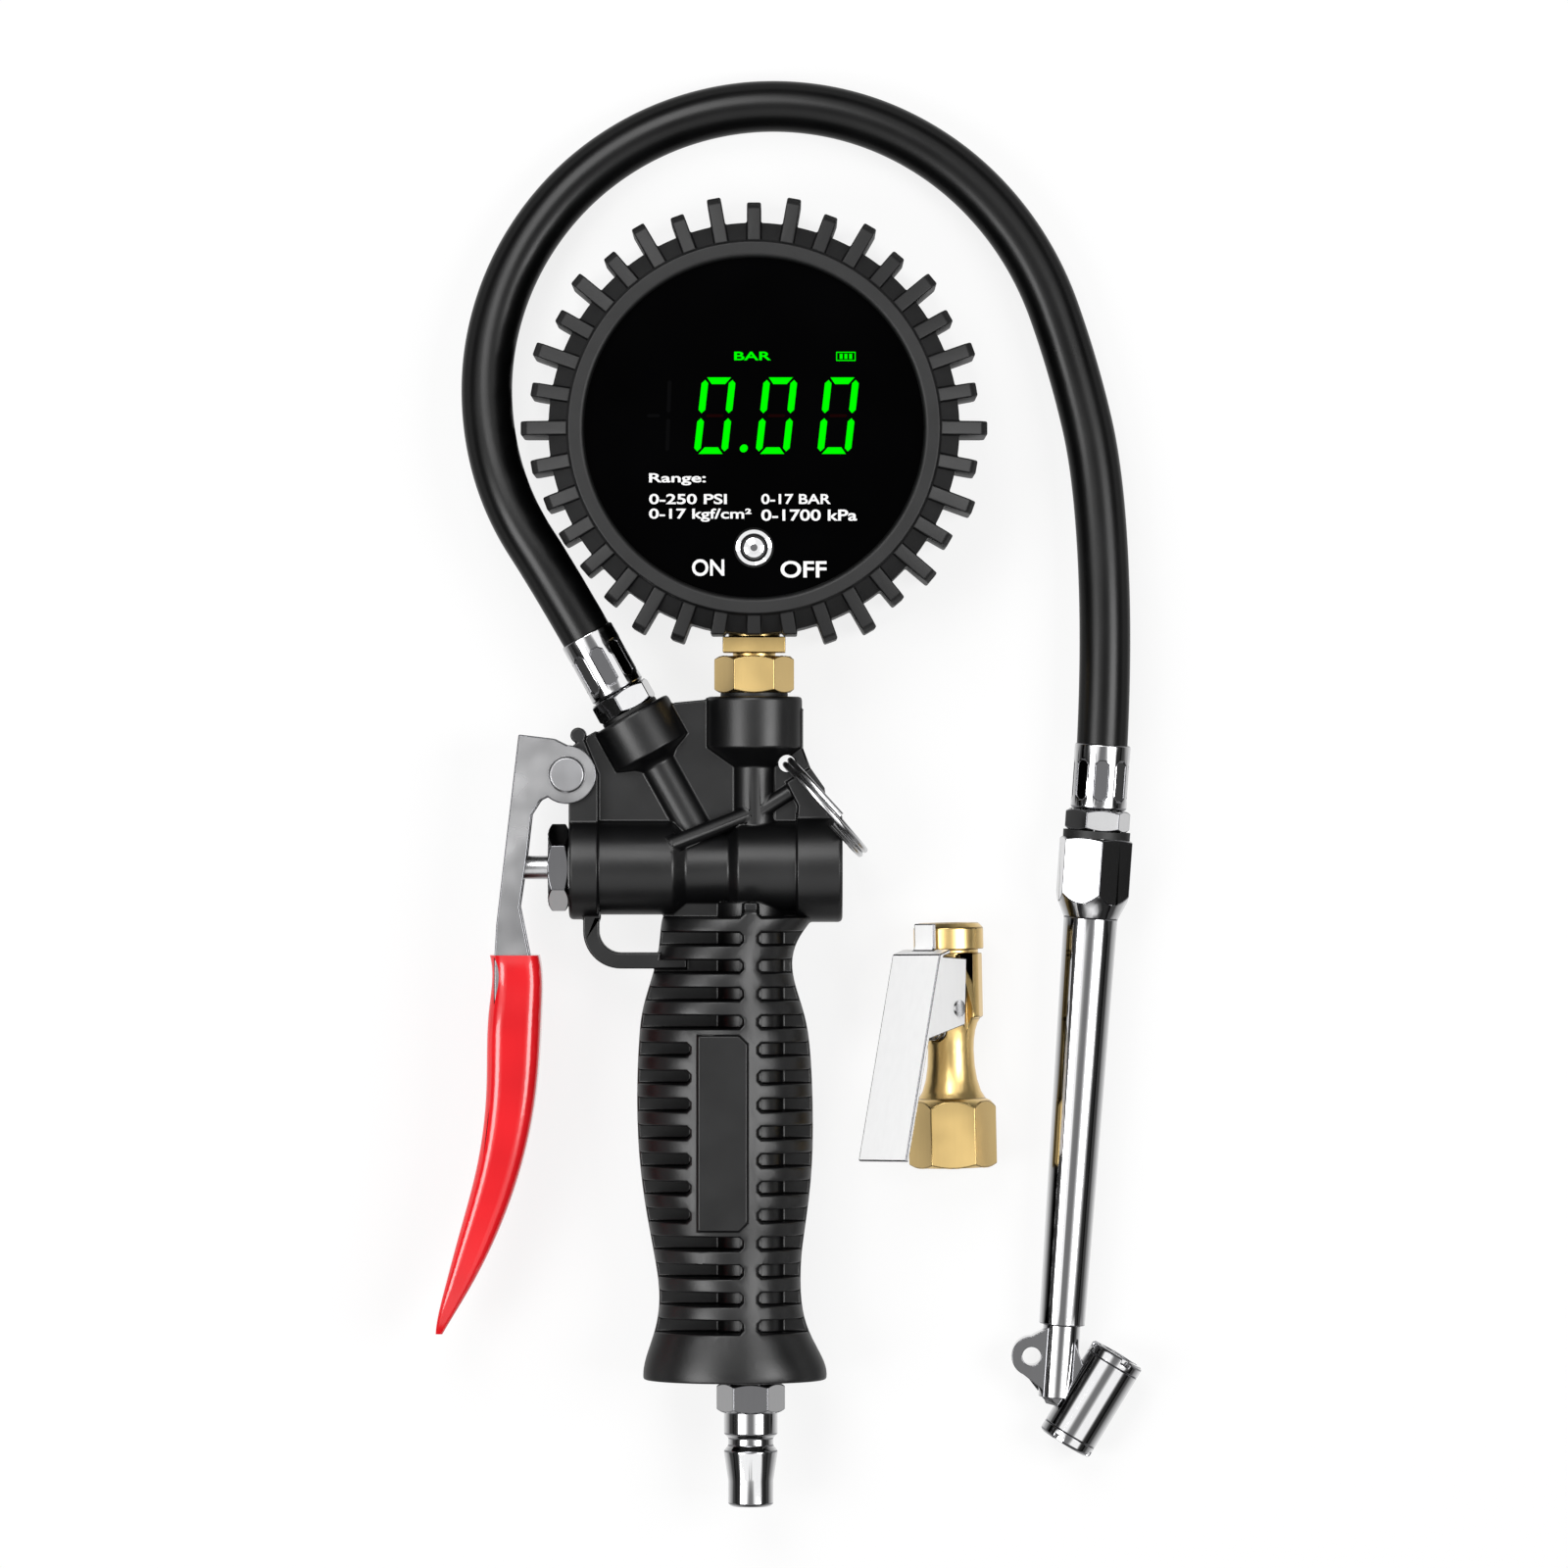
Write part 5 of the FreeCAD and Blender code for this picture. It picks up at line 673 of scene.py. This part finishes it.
def segment(shape, centre, half_length, half_width, upright, wide_side=0):
    """One bar of a digit as a face: six-sided, or four-sided and wider on one side."""
    if wide_side:
        short = half_length - CAP_TAPER * half_width
        outline = [(-half_length, wide_side * half_width), (half_length, wide_side * half_width),
                   (short, -wide_side * half_width), (-short, -wide_side * half_width)]
    else:
        short = half_length - half_width
        outline = [(-half_length, 0), (-short, -half_width), (short, -half_width),
                   (half_length, 0), (short, half_width), (-short, half_width)]
    corners = []
    for along, across in outline:
        x, y = (-across, along) if upright else (along, across)
        corners.append(shape.verts.new((centre[0] + x, centre[1] + y, 0)))
    shape.faces.new(corners)


def rectangle(shape, centre_x, centre_y, width, height):
    """A flat rectangle, given in millimetres about the gauge's centre."""
    place = Matrix.Translation((centre_x * MM, centre_y * MM, 0))
    size = Matrix.Diagonal((width * MM, height * MM, 1, 1))
    bmesh.ops.create_grid(shape, x_segments=1, y_segments=1, size=0.5, matrix=place @ size)


def raised(shape, height, rise, slant, centre_y):
    """Lean a flat pattern sideways, lift it to its place and give it thickness."""
    for vert in shape.verts:
        vert.co.x += slant * (vert.co.y - centre_y)
        vert.co.z = height
    bmesh.ops.recalc_face_normals(shape, faces=shape.faces)
    made = bmesh.ops.extrude_face_region(shape, geom=shape.faces[:])
    moved = [part for part in made["geom"] if isinstance(part, bmesh.types.BMVert)]
    bmesh.ops.translate(shape, verts=moved, vec=(0, 0, rise))
    bmesh.ops.recalc_face_normals(shape, faces=shape.faces)


def pattern_piece(name, shape, material):
    mesh = bpy.data.meshes.new(name)
    shape.to_mesh(mesh)
    shape.free()
    add_piece(name, mesh, material, "gun")


def lettering(name, words, left, right, low, high, material, height, rise):
    """Words stretched into a rectangle and laid on the lens."""
    text = bpy.data.curves.new(name, "FONT")
    text.body = words
    text.size = LETTER_SIZE
    text.offset = LETTER_BOLDNESS
    text.extrude = rise / 2
    writer = bpy.data.objects.new(name, text)
    bpy.context.scene.collection.objects.link(writer)
    bpy.context.view_layer.update()
    mesh = bpy.data.meshes.new_from_object(
        writer.evaluated_get(bpy.context.evaluated_depsgraph_get())
    )
    bpy.data.objects.remove(writer)
    xs = [vert.co.x for vert in mesh.vertices]
    ys = [vert.co.y for vert in mesh.vertices]
    wide = (right - left) / (max(xs) - min(xs))
    tall = (high - low) / (max(ys) - min(ys))
    for vert in mesh.vertices:
        vert.co.x = left + (vert.co.x - min(xs)) * wide
        vert.co.y = low + (vert.co.y - min(ys)) * tall
        vert.co.z += height + rise / 2
    mesh.name = name
    add_piece(name, mesh, material, "gun")


class INFLATOR_OT_gauge_face(Operator):
    """Draw the digits, the unlit bars, the battery sign and the lettering on the lens"""

    bl_idname = "inflator.gauge_face"
    bl_label = "Gauge face"

    def execute(self, context):
        sizes = context.scene.inflator_face
        top = lens_top()
        self.digits(sizes, top)
        self.unlit_one(sizes, top)
        self.battery(sizes, top)
        for name, words, left, right, low, high, material in LETTERING:
            lettering(name, words, left * MM, right * MM, low * MM, high * MM, material,
                      top, sizes.print_rise)
        return {"FINISHED"}

    def side_half_length(self, sizes):
        """Half the length of an upright bar, which leaves a gap to the bars next to it."""
        return sizes.digit_height / 4 - sizes.stroke / 2 * SIDE_SHORTER - BAR_GAP * MM

    def digits(self, sizes, top):
        """Three lit noughts, each with its unlit middle bar, and the decimal point."""
        half_bar = sizes.digit_width / 2
        half_stroke = sizes.stroke / 2
        quarter = sizes.digit_height / 4
        middle_y = DIGITS_Y * MM
        side = self.side_half_length(sizes)
        lit_bars = bmesh.new()
        unlit = bmesh.new()
        for i in range(DIGIT_COUNT):
            x = FIRST_DIGIT_X * MM + sizes.digit_pitch * i
            for up in (-1, 1):
                centre = (x, middle_y + up * (2 * quarter - half_stroke))
                segment(lit_bars, centre, CAP_HALF_LENGTH * MM, half_stroke, False, up)
                for way in (-1, 1):
                    centre = (x + way * (half_bar - half_stroke * SIDE_SET_IN),
                              middle_y + up * quarter)
                    segment(lit_bars, centre, side, half_stroke, True)
            segment(unlit, (x, middle_y), half_bar - UNLIT_BAR_SHORTER * MM,
                    half_stroke * UNLIT_BAR_STROKE, False)
        bmesh.ops.create_circle(
            lit_bars, cap_ends=True, segments=24, radius=DECIMAL_POINT_RADIUS * MM,
            matrix=Matrix.Translation((DECIMAL_POINT[0] * MM, DECIMAL_POINT[1] * MM, 0)),
        )
        raised(lit_bars, top, sizes.print_rise, sizes.slant, middle_y)
        raised(unlit, top, sizes.print_rise, sizes.slant, middle_y)
        pattern_piece("lit_digits", lit_bars, "lit_green")
        # The unlit middle bars get a faint painted glow
        pattern_piece("unlit_bars", unlit, "dim_red")

    def unlit_one(self, sizes, top):
        """The unlit minus and the unlit one, left of the digits."""
        half_stroke = sizes.stroke / 2
        middle_y = DIGITS_Y * MM
        ghost = bmesh.new()
        segment(ghost, (UNLIT_MINUS_X * MM, middle_y), UNLIT_MINUS_HALF_LENGTH * MM,
                half_stroke * UNLIT_MINUS_STROKE, False)
        for up in (-1, 1):
            segment(ghost, (UNLIT_ONE_X * MM, middle_y + up * sizes.digit_height / 4),
                    self.side_half_length(sizes), half_stroke * UNLIT_ONE_STROKE, True)
        raised(ghost, top, sizes.print_rise, sizes.slant * UNLIT_ONE_LEAN, middle_y)
        # The unlit minus and one get a faint painted glow
        pattern_piece("unlit_one", ghost, "dim_grey")

    def battery(self, sizes, top):
        """The battery sign: its cells in an outline."""
        x, y = BATTERY_CENTRE
        sign = bmesh.new()
        for i in range(BATTERY_CELLS):
            offset = BATTERY_CELL_PITCH * (i - (BATTERY_CELLS - 1) / 2)
            rectangle(sign, x + offset, y, *BATTERY_CELL)
        for up in (-1, 1):
            rectangle(sign, x, y + BATTERY_HALF[1] * up, BATTERY_OUTLINE[0], BATTERY_LINE)
            rectangle(sign, x + BATTERY_HALF[0] * up, y, BATTERY_LINE, BATTERY_OUTLINE[1])
        raised(sign, top, sizes.print_rise, 0.0, 0.0)
        pattern_piece("battery_sign", sign, "lit_green")


def looked_at(tree):
    """The mask of the rays that see the white backdrop, straight on or in metal or glass."""
    path = tree.nodes.new("ShaderNodeLightPath")
    seen = tree.nodes.new("ShaderNodeMath")
    also = tree.nodes.new("ShaderNodeMath")
    seen.operation = also.operation = "MAXIMUM"
    tree.links.new(path.outputs["Is Camera Ray"], seen.inputs[0])
    tree.links.new(path.outputs["Is Glossy Ray"], seen.inputs[1])
    tree.links.new(seen.outputs[0], also.inputs[0])
    tree.links.new(path.outputs["Is Transmission Ray"], also.inputs[1])
    return also.outputs[0]


class INFLATOR_OT_studio(Operator):
    """Plain white floor, soft boxes and a room with dark walls and a bright slanted ceiling"""

    bl_idname = "inflator.studio"
    bl_label = "Studio"

    def execute(self, context):
        studio = context.scene.inflator_studio
        context.scene.view_settings.view_transform = "Standard"
        self.floor(context, studio)
        for name, power, size, place in SOFT_BOXES:
            self.lamp(context, name, getattr(studio, power), size, place)
        self.room(context, studio)
        return {"FINISHED"}

    def floor(self, context, studio):
        """White paper under the tool, whose shadows stay faint."""
        mesh = bpy.data.meshes.new("studio_floor")
        shape = bmesh.new()
        bmesh.ops.create_grid(shape, x_segments=1, y_segments=1, size=FLOOR_HALF_WIDTH)
        shape.to_mesh(mesh)
        shape.free()
        floor = bpy.data.objects.new("studio_floor", mesh)
        context.scene.collection.objects.link(floor)
        floor.location.z = -FLOOR_DROP
        material, tree, output = new_material("studio_paper")
        paper = tree.nodes.new("ShaderNodeBsdfDiffuse")
        paper.inputs["Color"].default_value = (*studio.floor_colour, 1)
        white = tree.nodes.new("ShaderNodeEmission")
        white.inputs["Color"].default_value = (1, 1, 1, 1)
        share = tree.nodes.new("ShaderNodeMath")
        share.operation = "MULTIPLY"
        share.inputs[1].default_value = studio.floor_glow
        tree.links.new(looked_at(tree), share.inputs[0])
        mix = tree.nodes.new("ShaderNodeMixShader")
        tree.links.new(share.outputs[0], mix.inputs["Fac"])
        tree.links.new(paper.outputs[0], mix.inputs[1])
        tree.links.new(white.outputs[0], mix.inputs[2])
        tree.links.new(mix.outputs[0], output.inputs["Surface"])
        mesh.materials.append(material)

    def lamp(self, context, name, power, size, place):
        """A square soft box aimed at the middle of the tool."""
        data = bpy.data.lights.new(name, "AREA")
        data.energy = power
        data.shape = "SQUARE"
        data.size = size
        box = bpy.data.objects.new(name, data)
        box.location = place
        aim = Vector(LAMPS_AIM) - Vector(place)
        box.rotation_euler = aim.to_track_quat("-Z", "Y").to_euler()
        context.scene.collection.objects.link(box)

    def room(self, context, studio):
        """White foot of the walls, dark walls, a bright slanted ceiling, a grey patch overhead."""
        world = bpy.data.worlds.new("studio_room")
        context.scene.world = world
        world.use_nodes = True
        tree = world.node_tree
        tree.nodes.clear()
        output = tree.nodes.new("ShaderNodeOutputWorld")
        place = tree.nodes.new("ShaderNodeTexCoord")
        split = tree.nodes.new("ShaderNodeSeparateXYZ")
        levels = [(position, [level] * 3) for position, level in ROOM_LEVELS]
        ramp = ramp_node(tree, [*levels, (1.0, OVERHEAD)])
        tree.links.new(place.outputs["Generated"], split.inputs[0])
        tree.links.new(split.outputs["Z"], ramp.inputs["Fac"])
        mirrored = tree.nodes.new("ShaderNodeBackground")
        tree.links.new(ramp.outputs["Color"], mirrored.inputs["Color"])
        lighting = tree.nodes.new("ShaderNodeBackground")
        lighting.inputs["Color"].default_value = (1, 1, 1, 1)
        lighting.inputs["Strength"].default_value = studio.room_light
        mix = tree.nodes.new("ShaderNodeMixShader")
        tree.links.new(looked_at(tree), mix.inputs["Fac"])
        tree.links.new(lighting.outputs[0], mix.inputs[1])
        tree.links.new(mirrored.outputs[0], mix.inputs[2])
        tree.links.new(mix.outputs[0], output.inputs["Surface"])


class INFLATOR_PT_panel(Panel):
    """Lists the steps and the sizes of the tyre inflator's dressing"""

    bl_idname = "INFLATOR_PT_panel"
    bl_label = "Tyre inflator"
    bl_space_type = "VIEW_3D"
    bl_region_type = "UI"
    bl_category = "Inflator"

    def draw(self, context):
        for step in STEPS:
            self.layout.operator(step.bl_idname)
        for name, group in SETTINGS.items():
            settings = getattr(context.scene, name)
            box = self.layout.box()
            box.label(text=group.__doc__)
            for size in group.__annotations__:
                box.prop(settings, size)


SETTINGS = {
    "inflator_studio": StudioSizes,
    "inflator_hose": HoseSizes,
    "inflator_edges": EdgeSizes,
    "inflator_colours": FinishColours,
    "inflator_face": FaceSizes,
}

# The steps in the order in which they run
STEPS = [
    INFLATOR_OT_finishes,
    INFLATOR_OT_camera_and_hose,
    INFLATOR_OT_studio,
    INFLATOR_OT_solid_pieces,
    INFLATOR_OT_gauge_face,
]


def register():
    for thing in [*SETTINGS.values(), *STEPS, INFLATOR_PT_panel]:
        bpy.utils.register_class(thing)
    for name, group in SETTINGS.items():
        setattr(bpy.types.Scene, name, PointerProperty(type=group))


def unregister():
    for name in SETTINGS:
        delattr(bpy.types.Scene, name)
    for thing in reversed([*SETTINGS.values(), *STEPS, INFLATOR_PT_panel]):
        bpy.utils.unregister_class(thing)


def main():
    register()
    for step in STEPS:
        area, action = step.bl_idname.split(".")
        getattr(getattr(bpy.ops, area), action)()


if __name__ == "__main__":
    main()
